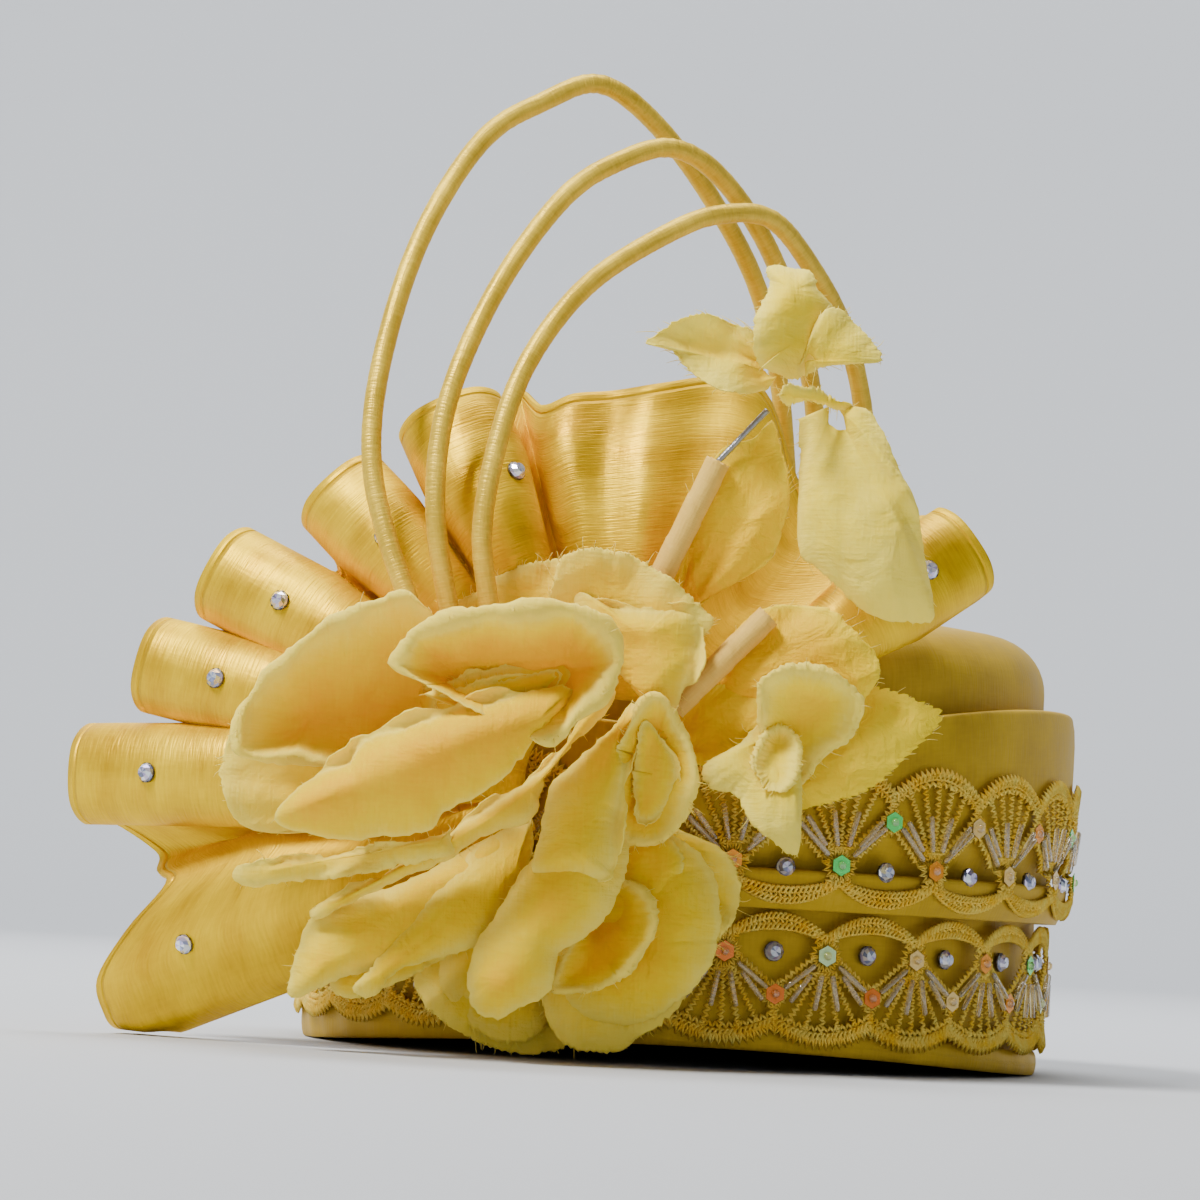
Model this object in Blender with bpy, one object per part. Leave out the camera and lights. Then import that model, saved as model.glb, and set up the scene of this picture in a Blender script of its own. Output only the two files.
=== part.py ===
"""A satin occasion hat of the cloche kind: a deep oval crown with a turned-up brim and beaded lace,
and on its front left a silk flower, a fluted satin ruffle, three satin loops, leaves and buds.

The hat is set out in its own frame: X to the right, Y away from the viewer, Z up, with zero on the
middle of the head opening. Sizes are millimetres, and MM turns them into metres when a mesh is made.
Ring angles run anticlockwise seen from above, from +X, so the hat's front is at -90 degrees.
Forward means towards -Y, counted from the plane on which the ornament is sewn.
"""

import math

import bpy
import numpy as np

MM = 0.001
GAP = 0.4  # left between two pieces that rest on each other

# Crown
CROWN_WIDTH = 185.0
CROWN_DEPTH = 204.0
CROWN_HEIGHT = 111.0
CROWN_WALL = 2.5
CROWN_SHOULDER = 14.0
CROWN_DOME_RISE = 6.0
CROWN_FRONT_DIP = 6.0
RIM_ARCH = 5.0
RING_SIDES = 32

# Rolled hem round the rim
HEM_THICKNESS = 1.2
HEM_HEIGHT = 6.0
HEM_LEFT_EXTRA = 6.0

# Turned-up brim, and the narrow pleat that covers its foot
BAND_LINE = 38.5
BRIM_TOP = 92.0
BRIM_FRONT_DIP = 12.0
BRIM_FLARE = 5.5
BRIM_WALL = 2.5
PLEAT_TOP = 48.0
PLEAT_FLARE = 2.4
PLEAT_WALL = 2.2

# Lace
LACE_CELLS = 24
LACE_PHASE_DEG = -76.5
LACE_WALL = 1.0
LACE_CLEARANCE = 0.6
LACE_REACH = 3.0
UPPER_LACE_TOP = 74.5
LOWER_LACE_BOTTOM = 6.0

# Ruffle
RUFFLE_RADIUS = 130.0
RUFFLE_ROOT = 20.0
RUFFLE_WALL = 1.5
RUFFLE_LEAN = 42.0
RUFFLE_CENTRE_LEFT = 19.0
RUFFLE_CENTRE_HEIGHT = 65.5
RUFFLE_STATIONS = 6
RUFFLE_FLOOR = 1.6

# Loops
LOOP_DIAMETER = 5.3
LOOP_SPAN = 100.0
LOOP_RISE = 140.0
LOOP_POINTS = 25

# Flower, leaves and stems
FLOWER_RADIUS = 61.0
FLOWER_DEPTH = 44.0
FLOWER_CENTRE_LEFT = 48.0
FLOWER_CENTRE_HEIGHT = 59.0
FLOWER_TURN_DEG = -3.1
PETAL_WALL = 1.2
PETAL_FLOOR = 2.0
ROOT_DROP = 6.0
STEM_DIAMETER = 5.6
WIRE_DIAMETER = 1.4

# Stones
STONE_DIAMETER = 4.6
STONE_HEIGHT = 2.0
STONE_INSET = 21.0
STONE_FACETS = 8

# Heightmap on which petals are laid
MAP_CELL = 0.5
FAR_BEHIND = -400.0
LAY_STEPS = 10
LAY_ROUNDS = 40
MAP_TUBE_STEPS = 12

SATIN = (0.83, 0.58, 0.11)
SATIN_DEEP = (0.78, 0.50, 0.08)
ORGANZA = (0.88, 0.70, 0.22)
ORGANZA_PALE = (0.90, 0.80, 0.35)
LACE_GOLD = (0.62, 0.42, 0.08)
STEM_TAN = (0.66, 0.40, 0.16)
WIRE_GREY = (0.30, 0.30, 0.30)
CRYSTAL = (0.75, 0.80, 0.85)

HALF_WIDTH = CROWN_WIDTH / 2
HALF_DEPTH = CROWN_DEPTH / 2
RING_ANGLES = np.arange(RING_SIDES) * 2 * math.pi / RING_SIDES


def material(name, colour, roughness, metallic=0.0):
    """A plain Principled material of that colour."""
    made = bpy.data.materials.get(name) or bpy.data.materials.new(name)
    made.use_nodes = True
    shader = made.node_tree.nodes["Principled BSDF"]
    shader.inputs["Base Color"].default_value = (*colour, 1.0)
    shader.inputs["Roughness"].default_value = roughness
    shader.inputs["Metallic"].default_value = metallic
    return made


def add_mesh(name, points, faces, finish):
    """A named object from points in millimetres, shaded smooth, with its faces turned outwards."""
    mesh = bpy.data.meshes.new(name)
    mesh.from_pydata((np.asarray(points, float) * MM).tolist(), [], [list(map(int, f)) for f in faces])
    mesh.validate()
    mesh.materials.append(finish)
    mesh.shade_smooth()
    mesh.set_sharp_from_angle(angle=math.radians(40))
    made = bpy.data.objects.new(name, mesh)
    bpy.context.collection.objects.link(made)
    return made


def front_share(angle):
    """1 at the hat's front, falling to 0 at its sides, and 0 all round its back half."""
    return np.maximum(0.0, -np.sin(angle)) ** 2


def rim_height(angle):
    """The rim's underside: flat at the sides and back, arched at the front."""
    return RIM_ARCH * front_share(angle)


def on_oval(angle, outward, height, share=1.0):
    """A point on the crown's oval, that far outside it, or on the oval shrunk to a share of itself."""
    return np.stack(
        [
            (HALF_WIDTH * share + outward) * np.cos(angle),
            (HALF_DEPTH * share + outward) * np.sin(angle),
            height + 0 * angle,
        ],
        axis=-1,
    )


def ring_faces(rings, sides, closed):
    """Quads between rings of points that follow one another; closed joins the last ring to the first."""
    faces = []
    for ring in range(rings if closed else rings - 1):
        following = (ring + 1) % rings
        for side in range(sides):
            after = (side + 1) % sides
            here, there = ring * sides, following * sides
            faces.append((here + side, here + after, there + after, there + side))
    return faces


def add_band(name, section, finish):
    """A closed band round the crown. section(angle) gives (outward, height) pairs, anticlockwise."""
    rings = [on_oval(RING_ANGLES, outward, height) for outward, height in section(RING_ANGLES)]
    points = np.concatenate(rings)
    return add_mesh(name, points, ring_faces(len(rings), RING_SIDES, closed=True), finish)


# Crown's profile from rim to crown tip: share of the wall's height, share of the shoulder's arc in degrees
CROWN_WALL_SHARES = (0.0, 1.0)
CROWN_SHOULDER_DEGREES = (35, 70)
CROWN_DOME_SHARES = (0.72, 0.38)


def crown_rings(inset):
    """The crown's outer rings from rim to tip, or with an inset its inner ones."""
    top = CROWN_HEIGHT - CROWN_FRONT_DIP * front_share(RING_ANGLES) ** 2
    shoulder = CROWN_SHOULDER
    foot, wall_top = rim_height(RING_ANGLES), top - shoulder
    rings = [
        on_oval(RING_ANGLES, -inset, foot + (wall_top - foot) * share) for share in CROWN_WALL_SHARES
    ]
    for degrees in CROWN_SHOULDER_DEGREES:
        turn = math.radians(degrees)
        inwards = (shoulder - inset) * math.cos(turn) - shoulder
        rings.append(on_oval(RING_ANGLES, inwards, wall_top + (shoulder - inset) * math.sin(turn)))
    tip = CROWN_HEIGHT + CROWN_DOME_RISE
    for share in CROWN_DOME_SHARES:
        height = top + (tip - top) * (1 - share**2)
        rings.append(on_oval(RING_ANGLES, 0, height - inset, share))
    return rings, tip - inset


def add_crown(finish):
    """The deep oval crown, hollow and open below."""
    outer, outer_tip = crown_rings(0.0)
    inner, inner_tip = crown_rings(CROWN_WALL)
    rings = outer[::-1] + inner
    points = np.concatenate([*rings, [[0, 0, outer_tip]], [[0, 0, inner_tip]]])
    faces = [face[::-1] for face in ring_faces(len(rings), RING_SIDES, closed=False)]
    outer_pole, last = len(points) - 2, (len(rings) - 1) * RING_SIDES
    for side in range(RING_SIDES):
        after = (side + 1) % RING_SIDES
        faces.append((outer_pole, side, after))
        faces.append((outer_pole + 1, last + after, last + side))
    return add_mesh("crown", points, faces, finish)


def hem_top(angle):
    """The hem's upper edge, higher on the hat's left than on its right."""
    return rim_height(angle) + HEM_HEIGHT + HEM_LEFT_EXTRA * np.clip(-np.cos(angle), 0, 1) ** 2


def hem_section(angle):
    """The rolled hem."""
    foot = rim_height(angle)
    height = hem_top(angle) - foot
    inner, outer, chamfer = GAP, GAP + HEM_THICKNESS, HEM_THICKNESS / 3
    return (
        (inner, foot),
        (outer - chamfer, foot),
        (outer, foot + chamfer),
        (outer, foot + height - chamfer),
        (outer - chamfer, foot + height),
        (inner, foot + height),
    )


# Share of the pleat's height, share of its flare
PLEAT_ROWS = ((0.0, 0.0), (0.28, 0.55), (0.86, 1.0))
# The brim behind the pleat, then above it: share of that height, share of the brim's flare
BRIM_TUCKED_ROWS = ((0.0, 0.0), (1.0, 0.04))
BRIM_FREE_ROWS = ((0.10, 0.36), (0.22, 0.80), (0.45, 0.97), (0.82, 1.0), (0.96, 0.90))


def pleat_outer():
    """The pleat's outer face as (outward, height) pairs, from its foot up."""
    base = 2 * GAP + BRIM_WALL + PLEAT_WALL
    return [
        (base + PLEAT_FLARE * flare, BAND_LINE + (PLEAT_TOP - BAND_LINE) * share)
        for share, flare in PLEAT_ROWS
    ]


def brim_top(angle):
    return BRIM_TOP - BRIM_FRONT_DIP * front_share(angle) ** 2


def brim_outer(angle):
    """The brim's outer face as (outward, height) pairs, from its foot up."""
    base, top = GAP + BRIM_WALL, brim_top(angle)
    tucked = [
        (base + BRIM_FLARE * flare, BAND_LINE + (PLEAT_TOP - BAND_LINE) * share)
        for share, flare in BRIM_TUCKED_ROWS
    ]
    free = [
        (base + BRIM_FLARE * flare, PLEAT_TOP + (top - PLEAT_TOP) * share) for share, flare in BRIM_FREE_ROWS
    ]
    return tucked + free


def folded_section(outer, wall, top):
    """A folded band's closed section: its outer face, a rounded top edge, and its inner face."""
    inner = [(outward - wall, height) for outward, height in outer[::-1]]
    return [*outer, (outer[-1][0] - wall / 2, top), *inner]


def pleat_section(angle):
    return folded_section(pleat_outer(), PLEAT_WALL, PLEAT_TOP)


def brim_section(angle):
    return folded_section(brim_outer(angle), BRIM_WALL, brim_top(angle))


def band_outward(angle, height):
    """How far the satin stands outside the crown at one angle, within a stone's reach of that height."""
    faces = [pleat_outer(), [(outward, float(level)) for outward, level in brim_outer(angle)]]
    found = 0.0
    for face in faces:
        heights, outwards = [h for _, h in face], [o for o, _ in face]
        for probe in (height - LACE_REACH, height, height + LACE_REACH):
            if heights[0] <= probe <= heights[-1] + LACE_REACH:
                found = max(found, np.interp(probe, heights, outwards))
    return found


def upper_lace_outward(angle, height):
    """The upper tier follows the pleat and the brim."""
    return band_outward(angle, height) + LACE_CLEARANCE


def lower_lace_outward(angle, height):
    """The lower tier hangs straight, over the hem."""
    return GAP + HEM_THICKNESS + LACE_CLEARANCE


# One lace cell: share of the cell's width from the stone's middle, then the heights as shares of the
# tier, of its foot, its window's foot, its window's top and its own top. Upper tier, then lower tier.
UPPER_LACE_COLUMNS = (
    (-0.5, 0.12, 0.27, 0.38, 1.00),
    (-0.3, 0.05, 0.24, 0.44, 0.92),
    (0.0, 0.00, 0.14, 0.54, 0.82),
    (0.3, 0.05, 0.24, 0.44, 0.92),
)
LOWER_LACE_COLUMNS = (
    (-0.5, 0.00, 0.66, 0.76, 0.97),
    (-0.3, 0.06, 0.60, 0.88, 0.98),
    (0.0, 0.15, 0.46, 0.93, 1.00),
    (0.3, 0.06, 0.60, 0.88, 0.98),
)


# The window is this row of a cell, across these of its columns
WINDOW_ROW = 1
WINDOW_COLUMNS = (1, 2)


def add_lace(name, columns, span, outward_at, finish):
    """A tier of lace: scalloped above and below, with a window round each stone, one window a cell."""
    low, high = span
    step = 2 * math.pi / LACE_CELLS
    count = len(columns) * LACE_CELLS
    inner, outer = [], []
    for cell in range(LACE_CELLS):
        for share, *levels in columns:
            angle = math.radians(LACE_PHASE_DEG) + step * (cell + share)
            for level in levels:
                height = low + (high - low) * level
                outward = outward_at(angle, height)
                inner.append(on_oval(np.float64(angle), outward, height))
                outer.append(on_oval(np.float64(angle), outward + LACE_WALL, height))
    rows, back = len(columns[0]) - 1, len(outer)
    faces = []
    for column in range(count):
        after = (column + 1) % count
        part_of_cell = column % len(columns)
        for row in range(rows - 1):
            low_left, low_right = column * rows + row, after * rows + row
            high_left, high_right = low_left + 1, low_right + 1
            if row != WINDOW_ROW or part_of_cell not in WINDOW_COLUMNS:
                faces.append((low_left, low_right, high_right, high_left))
                faces.append(tuple(back + k for k in (high_left, high_right, low_right, low_left)))
                continue
            faces.append((low_left, low_right, back + low_right, back + low_left))
            faces.append((high_right, high_left, back + high_left, back + high_right))
            if part_of_cell == WINDOW_COLUMNS[0]:
                faces.append((high_left, low_left, back + low_left, back + high_left))
            if part_of_cell == WINDOW_COLUMNS[-1]:
                faces.append((low_right, high_right, back + high_right, back + low_right))
        foot, foot_after = column * rows, after * rows
        head, head_after = foot + rows - 1, foot_after + rows - 1
        faces.append((foot_after, foot, back + foot, back + foot_after))
        faces.append((head, head_after, back + head_after, back + head))
    return add_mesh(name, np.array(outer + inner), faces, finish)


FRONT_PLANE = HALF_DEPTH + GAP + BRIM_WALL + BRIM_FLARE + LACE_CLEARANCE + LACE_WALL + GAP

# The ruffle's folds, from low left over the top to the right, in shares of the ruffle's radius: the
# fold's angle in degrees from +X, its tip's radius, its tube's radius, how far round the tube each side
# of the fold runs in degrees, and the radius of the valley after it
RUFFLE_FOLDS = (
    (203.5, 1.01, 0.150, 75.0, 0.81),
    (181.5, 1.00, 0.092, 118.0, 0.76),
    (168.0, 0.90, 0.088, 118.0, 0.70),
    (154.0, 0.84, 0.092, 118.0, 0.64),
    (135.5, 0.76, 0.092, 118.0, 0.61),
    (116.5, 0.77, 0.100, 112.0, 0.76),
    (86.0, 0.78, 0.240, 60.0, 0.64),
    (37.0, 0.81, 0.092, 100.0, 0.64),
)
VALLEY_DEPTH_SHARE = 0.055
FOLD_STEPS = 6
FOLD_OVERLAP = 0.9


def fold_columns():
    """Each column across the ruffle: its fold's angle, sideways and forward offsets in millimetres
    at full size, and its own tip radius. Offsets follow a tube round the fold's crest."""
    columns = []
    valley_depth = -RUFFLE_RADIUS * VALLEY_DEPTH_SHARE
    for index, (angle, radius, half_width, closing, valley) in enumerate(RUFFLE_FOLDS):
        tube, tip = half_width * RUFFLE_RADIUS, radius * RUFFLE_RADIUS
        crest = tube * (1 - math.cos(math.radians(closing))) + valley_depth * 0.35
        for step in range(FOLD_STEPS + 1):
            turn = math.radians(closing) * (2 * step / FOLD_STEPS - 1)
            sideways = tube * math.sin(turn)
            forward = crest - tube * (1 - math.cos(turn))
            back_set = tube * 0.42 * (1 - math.cos(turn)) ** 1.4
            columns.append((angle, sideways, forward, tip - back_set))
        if index + 1 < len(RUFFLE_FOLDS):
            after, after_radius, after_half_width, *_ = RUFFLE_FOLDS[index + 1]
            side = angle - math.degrees(half_width / radius) * FOLD_OVERLAP
            after_side = after + math.degrees(after_half_width / after_radius) * FOLD_OVERLAP
            columns.append(((side + after_side) / 2, 0.0, valley_depth, valley * RUFFLE_RADIUS))
    return columns


def ruffle_point(column, share):
    """A point of the ruffle at a share of the way from its root to its tip, in the hat's frame."""
    angle, sideways, forward, tip = column
    radius = RUFFLE_ROOT + (tip - RUFFLE_ROOT) * share
    turn = math.radians(angle)
    opening = min(1.0, (radius / RUFFLE_RADIUS) / 0.62) ** 1.15
    rise = max(0.0, min(1.0, (radius - RUFFLE_ROOT) / (0.45 * RUFFLE_RADIUS)))
    rise = rise * rise * (3 - 2 * rise)
    x = -RUFFLE_CENTRE_LEFT + radius * math.cos(turn) + sideways * opening * math.sin(turn)
    z = RUFFLE_CENTRE_HEIGHT + radius * math.sin(turn) - sideways * opening * math.cos(turn)
    lean = RUFFLE_LEAN * (max(0.0, radius - 1.5 * RUFFLE_ROOT) / (RUFFLE_RADIUS - 1.5 * RUFFLE_ROOT)) ** 2
    z = max(z, RUFFLE_FLOOR)
    return np.array([x, -FRONT_PLANE - RUFFLE_WALL / 2 - forward * rise + lean, z])


def ruffle_grid():
    """The middle of the ruffle's cloth, as points along each of its columns."""
    shares = [(station / (RUFFLE_STATIONS - 1)) ** 0.9 for station in range(RUFFLE_STATIONS)]
    return np.array([[ruffle_point(column, share) for share in shares] for column in fold_columns()])


def grid_faces(across, along):
    """Quads over a grid of points that runs along, then across."""
    return [
        (i * along + j, i * along + j + 1, (i + 1) * along + j + 1, (i + 1) * along + j)
        for i in range(across - 1)
        for j in range(along - 1)
    ]


def add_ruffle(grid, finish):
    """The fluted fan of stiffened satin, one cloth with its thickness either side of the middle."""
    made = add_mesh("ruffle", grid.reshape(-1, 3), grid_faces(*grid.shape[:2]), finish)
    wall = made.modifiers.new("wall", "SOLIDIFY")
    wall.thickness = RUFFLE_WALL * MM
    wall.offset = 0.0
    wall.use_even_offset = False
    return made


class FrontMap:
    """How far forward the hat already reaches at each millimetre of its front, as a grid of cells."""

    def __init__(self):
        self.low = np.array([-1.9 * HALF_WIDTH, -10.0])
        size = np.array([3.6 * HALF_WIDTH, CROWN_HEIGHT + LOOP_RISE + 20.0])
        self.cells = np.full(tuple((size / MAP_CELL).astype(int)), FAR_BEHIND)

    def index(self, x, z):
        i = np.clip(np.rint((x - self.low[0]) / MAP_CELL).astype(int), 0, self.cells.shape[0] - 1)
        k = np.clip(np.rint((z - self.low[1]) / MAP_CELL).astype(int), 0, self.cells.shape[1] - 1)
        return i, k

    def add_points(self, points, forward):
        """Raises the cells at these points, and their neighbours, to that forward reach."""
        i, k = self.index(points[:, 0], points[:, 1])
        for di in (-1, 0, 1):
            for dk in (-1, 0, 1):
                ii = np.clip(i + di, 0, self.cells.shape[0] - 1)
                kk = np.clip(k + dk, 0, self.cells.shape[1] - 1)
                np.maximum.at(self.cells, (ii, kk), forward)

    def add_triangles(self, x, z, forward, triangles):
        """Raises the cells under a sheet of triangles."""
        for a, b, c in triangles:
            span = max(abs(x[a] - x[b]) + abs(z[a] - z[b]), abs(x[a] - x[c]) + abs(z[a] - z[c]),
                       abs(x[b] - x[c]) + abs(z[b] - z[c]))
            shares = barycentric_shares(max(2, int(span / MAP_CELL) + 1))
            corners = np.array([[x[a], z[a], forward[a]], [x[b], z[b], forward[b]], [x[c], z[c], forward[c]]])
            spots = shares @ corners
            self.add_points(spots[:, :2], spots[:, 2])

    def reach(self, x, z):
        return self.cells[self.index(x, z)]


SHARES_MADE = {}


def barycentric_shares(steps):
    """Even barycentric coordinates over a triangle, with that many steps along an edge."""
    if steps not in SHARES_MADE:
        SHARES_MADE[steps] = np.array(
            [
                (i / steps, j / steps, (steps - i - j) / steps)
                for i in range(steps + 1)
                for j in range(steps + 1 - i)
            ]
        )
    return SHARES_MADE[steps]


def triangles_of(across, along):
    return np.array(
        [half for a, b, c, d in grid_faces(across, along) for half in ((a, b, c), (a, c, d))]
    )


def sheet_lack(front, x, z, forward, triangles):
    """How much further forward each triangle of a sheet must stand to clear what is on the map."""
    corners = np.stack([x[triangles], z[triangles], forward[triangles]], axis=-1)
    spots = np.einsum("sk,tkc->tsc", barycentric_shares(LAY_STEPS), corners)
    return (front.reach(spots[..., 0], spots[..., 1]) + GAP - spots[..., 2]).max(axis=1)


def lay_sheet(front, x, z, forward, triangles):
    """Lifts a sheet where it lies too deep, then seats it on the highest place under it."""
    for _ in range(LAY_ROUNDS):
        lack = sheet_lack(front, x, z, forward, triangles)
        if lack.max() <= 0:
            break
        lift = np.zeros(len(x))
        for corner in range(3):
            np.maximum.at(lift, triangles[:, corner], np.maximum(lack, 0) + 1e-6)
        forward = forward + lift
    return forward + sheet_lack(front, x, z, forward, triangles).max()


def flower_spot(u, v):
    """A place on the ornament, in flower radii from the flower's middle, in the hat's frame."""
    turn = math.radians(-FLOWER_TURN_DEG)
    x = FLOWER_RADIUS * (u * math.cos(turn) - v * math.sin(turn)) - FLOWER_CENTRE_LEFT
    z = FLOWER_RADIUS * (u * math.sin(turn) + v * math.cos(turn)) + FLOWER_CENTRE_HEIGHT
    return x, z


PETAL_ACROSS = 5
PETAL_ALONG = 6
LEAF_ACROSS = 4
LEAF_ALONG = 5

# Petals and leaves, in the order in which they are sewn on, back to front. Places are in flower radii
# right of and above the flower's middle, and forward reaches in flower depths.
# name, root (u, v), tip (u, v), bow, half_width, fullest, root_width, forward (root, middle, tip), cup
BACK_PETALS = (
    ("petal_bottom", (0.10, -0.42), (0.22, -0.95), 0.00, 0.36, 0.60, 0.6, (0.05, 0.12, 0.10), 0.05),
    ("petal_bottom_right", (0.40, -0.36), (0.72, -0.93), 0.05, 0.30, 0.62, 0.6, (0.06, 0.12, 0.08), 0.05),
    ("petal_right_outer", (0.44, -0.10), (0.99, -0.38), 0.05, 0.26, 0.60, 0.7, (0.08, 0.12, 0.06), 0.05),
    ("petal_right_round", (0.40, -0.12), (0.86, -0.74), 0.10, 0.36, 0.62, 0.6, (0.10, 0.22, 0.12), -0.08),
    ("petal_top_left", (0.20, 0.40), (0.02, 0.82), 0.00, 0.26, 0.55, 0.8, (0.10, 0.16, 0.12), 0.05),
    ("petal_left_low", (-0.15, -0.02), (-0.95, -0.02), 0.05, 0.18, 0.60, 0.5, (0.14, 0.20, 0.22), 0.05),
    ("petal_left_cup", (-0.06, 0.16), (-0.92, 0.40), 0.06, 0.38, 0.60, 0.5, (0.16, 0.24, 0.36), 0.22),
)
LEAVES = (
    ("leaf_upper", (0.70, 0.70), (1.02, 1.40), -0.10, 0.26, 0.50, 0.4, (0.14, 0.24, 0.24), -0.05),
    ("leaf_lower", (0.72, 0.34), (1.50, 0.52), 0.12, 0.22, 0.55, 0.4, (0.16, 0.30, 0.26), -0.05),
    ("leaf_inner", (0.74, 0.16), (1.10, 0.36), 0.00, 0.14, 0.55, 0.5, (0.14, 0.20, 0.20), 0.00),
)
BUD_PETALS = (
    ("bud_leaf", (1.12, 1.52), (0.66, 1.76), -0.10, 0.13, 0.50, 0.3, (0.30, 0.34, 0.40), 0.10),
    ("bud_cup", (1.13, 1.53), (1.24, 2.04), 0.10, 0.20, 0.50, 0.5, (0.34, 0.42, 0.32), -0.15),
    ("bud_flap", (1.20, 1.60), (1.54, 1.66), 0.05, 0.11, 0.40, 0.7, (0.38, 0.42, 0.36), -0.05),
    ("bud_strip", (1.10, 1.50), (1.44, 1.46), 0.10, 0.05, 0.50, 0.4, (0.34, 0.36, 0.34), 0.00),
    ("bud_long", (1.34, 1.44), (1.52, 0.66), 0.00, 0.25, 0.62, 0.5, (0.34, 0.44, 0.36), -0.10),
    ("leaf_serrated", (1.12, 0.08), (1.76, 0.28), -0.04, 0.18, 0.45, 0.5, (0.10, 0.16, 0.10), -0.03),
    ("bud_low_cup", (1.10, 0.02), (1.36, 0.40), -0.15, 0.18, 0.62, 0.4, (0.26, 0.36, 0.46), 0.10),
    ("bud_low_lip", (1.14, 0.22), (1.14, -0.22), 0.25, 0.15, 0.50, 0.6, (0.30, 0.40, 0.36), 0.10),
)
FRONT_PETALS = (
    ("petal_top", (0.36, 0.40), (0.56, 0.88), 0.05, 0.28, 0.55, 0.7, (0.20, 0.30, 0.34), 0.05),
    ("petal_top_right", (0.42, 0.22), (0.78, 0.66), 0.10, 0.24, 0.60, 0.7, (0.22, 0.36, 0.40), -0.05),
    ("petal_low_left_short", (0.00, -0.36), (-0.60, -0.76), 0.00, 0.14, 0.60, 0.6, (0.20, 0.28, 0.20), 0.00),
    ("petal_low_left_long", (0.18, -0.18), (-0.74, -0.72), 0.06, 0.20, 0.45, 0.5, (0.30, 0.44, 0.26), -0.05),
    ("petal_right_inner", (0.42, -0.42), (0.66, -0.62), -0.30, 0.16, 0.60, 0.8, (0.26, 0.34, 0.34), 0.10),
    ("petal_right_curl", (0.46, -0.24), (0.74, 0.30), -0.15, 0.20, 0.50, 0.6, (0.34, 0.44, 0.44), 0.08),
    ("petal_centre_long", (0.42, -0.08), (0.06, -0.87), 0.05, 0.26, 0.55, 0.6, (0.40, 0.58, 0.44), -0.10),
    ("petal_centre_short", (0.58, 0.30), (0.34, -0.35), 0.04, 0.19, 0.62, 0.4, (0.46, 0.64, 0.62), -0.08),
    ("petal_sweep", (0.26, 0.02), (-0.66, -0.46), 0.10, 0.15, 0.40, 0.5, (0.48, 0.58, 0.34), -0.05),
    ("petal_left_strip", (-0.05, -0.16), (-0.94, -0.31), -0.03, 0.09, 0.50, 0.8, (0.34, 0.42, 0.30), 0.05),
    ("petal_heart_back", (0.50, 0.36), (-0.30, 0.40), 0.26, 0.15, 0.45, 0.8, (0.62, 0.74, 0.60), 0.10),
    ("petal_heart_fold", (0.40, 0.40), (-0.18, 0.22), 0.04, 0.11, 0.50, 0.7, (0.60, 0.66, 0.56), 0.05),
    ("petal_lip", (0.32, 0.20), (-0.84, 0.00), -0.06, 0.25, 0.42, 0.7, (0.70, 0.84, 0.52), -0.12),
)


def petal_width(share, fullest, root_width):
    """Half width along a petal, from its root's share to 1 where it is fullest and round to its tip."""
    if share < fullest:
        return root_width + (1 - root_width) * math.sin(math.pi / 2 * share / fullest)
    return math.sqrt(max(0.03, 1 - ((share - fullest) / (1 - fullest)) ** 2))


def petal_sheet(row, across, along):
    """A petal's grid: places across the front and how far forward it means to stand."""
    _, root, tip, bow, half_width, fullest, root_width, reaches, cup = row
    root, tip = np.array(root), np.array(tip)
    axis = tip - root
    length = np.linalg.norm(axis)
    normal = np.array([-axis[1], axis[0]]) / length
    u, v, forward = [], [], []
    for i in range(across):
        side = 2 * i / (across - 1) - 1
        for j in range(along):
            share = 1 - (1 - j / (along - 1)) ** 1.3
            spine = root + axis * share + normal * bow * 4 * share * (1 - share)
            sideways = side * half_width * petal_width(share, fullest, root_width)
            u.append(spine[0] + normal[0] * sideways)
            v.append(spine[1] + normal[1] * sideways)
            at_root, at_middle, at_tip = reaches
            reach = at_root * (1 - share) * (1 - 2 * share) + 4 * at_middle * share * (1 - share)
            reach += at_tip * share * (2 * share - 1) + cup * side**2
            forward.append(reach * FLOWER_DEPTH)
    x, z = flower_spot(np.array(u), np.array(v))
    return x, np.maximum(z, PETAL_FLOOR), np.array(forward)


def add_petal(front, row, across, along, finish):
    """Lays one petal on what is already there and gives it its wall, forward of its back face."""
    x, z, forward = petal_sheet(row, across, along)
    triangles = triangles_of(across, along)
    slack = forward - GAP - front.reach(x, z)
    root, shares = slack[::along].min(), np.tile(np.arange(along) / (along - 1), across)
    forward = lay_sheet(front, x, z, forward - min(max(root, 0), ROOT_DROP) * (1 - shares) ** 2, triangles)
    front.add_triangles(x, z, forward + PETAL_WALL, triangles)
    back = np.stack([x, -FRONT_PLANE - forward, z], axis=1)
    face = back - [0, PETAL_WALL, 0]
    count = len(x)
    faces = [tuple(map(int, t)) for t in triangles]
    faces = [f[::-1] for f in faces] + [tuple(count + k for k in f) for f in faces]
    edge = [j for j in range(along)] + [i * along + along - 1 for i in range(1, across)]
    edge += [(across - 1) * along + j for j in range(along - 2, -1, -1)]
    edge += [i * along for i in range(across - 2, 0, -1)]
    for here, after in zip(edge, edge[1:] + edge[:1]):
        faces.append((here, after, count + after, count + here))
    made = add_mesh(row[0], np.concatenate([back, face]), faces, finish)
    return made


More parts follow.
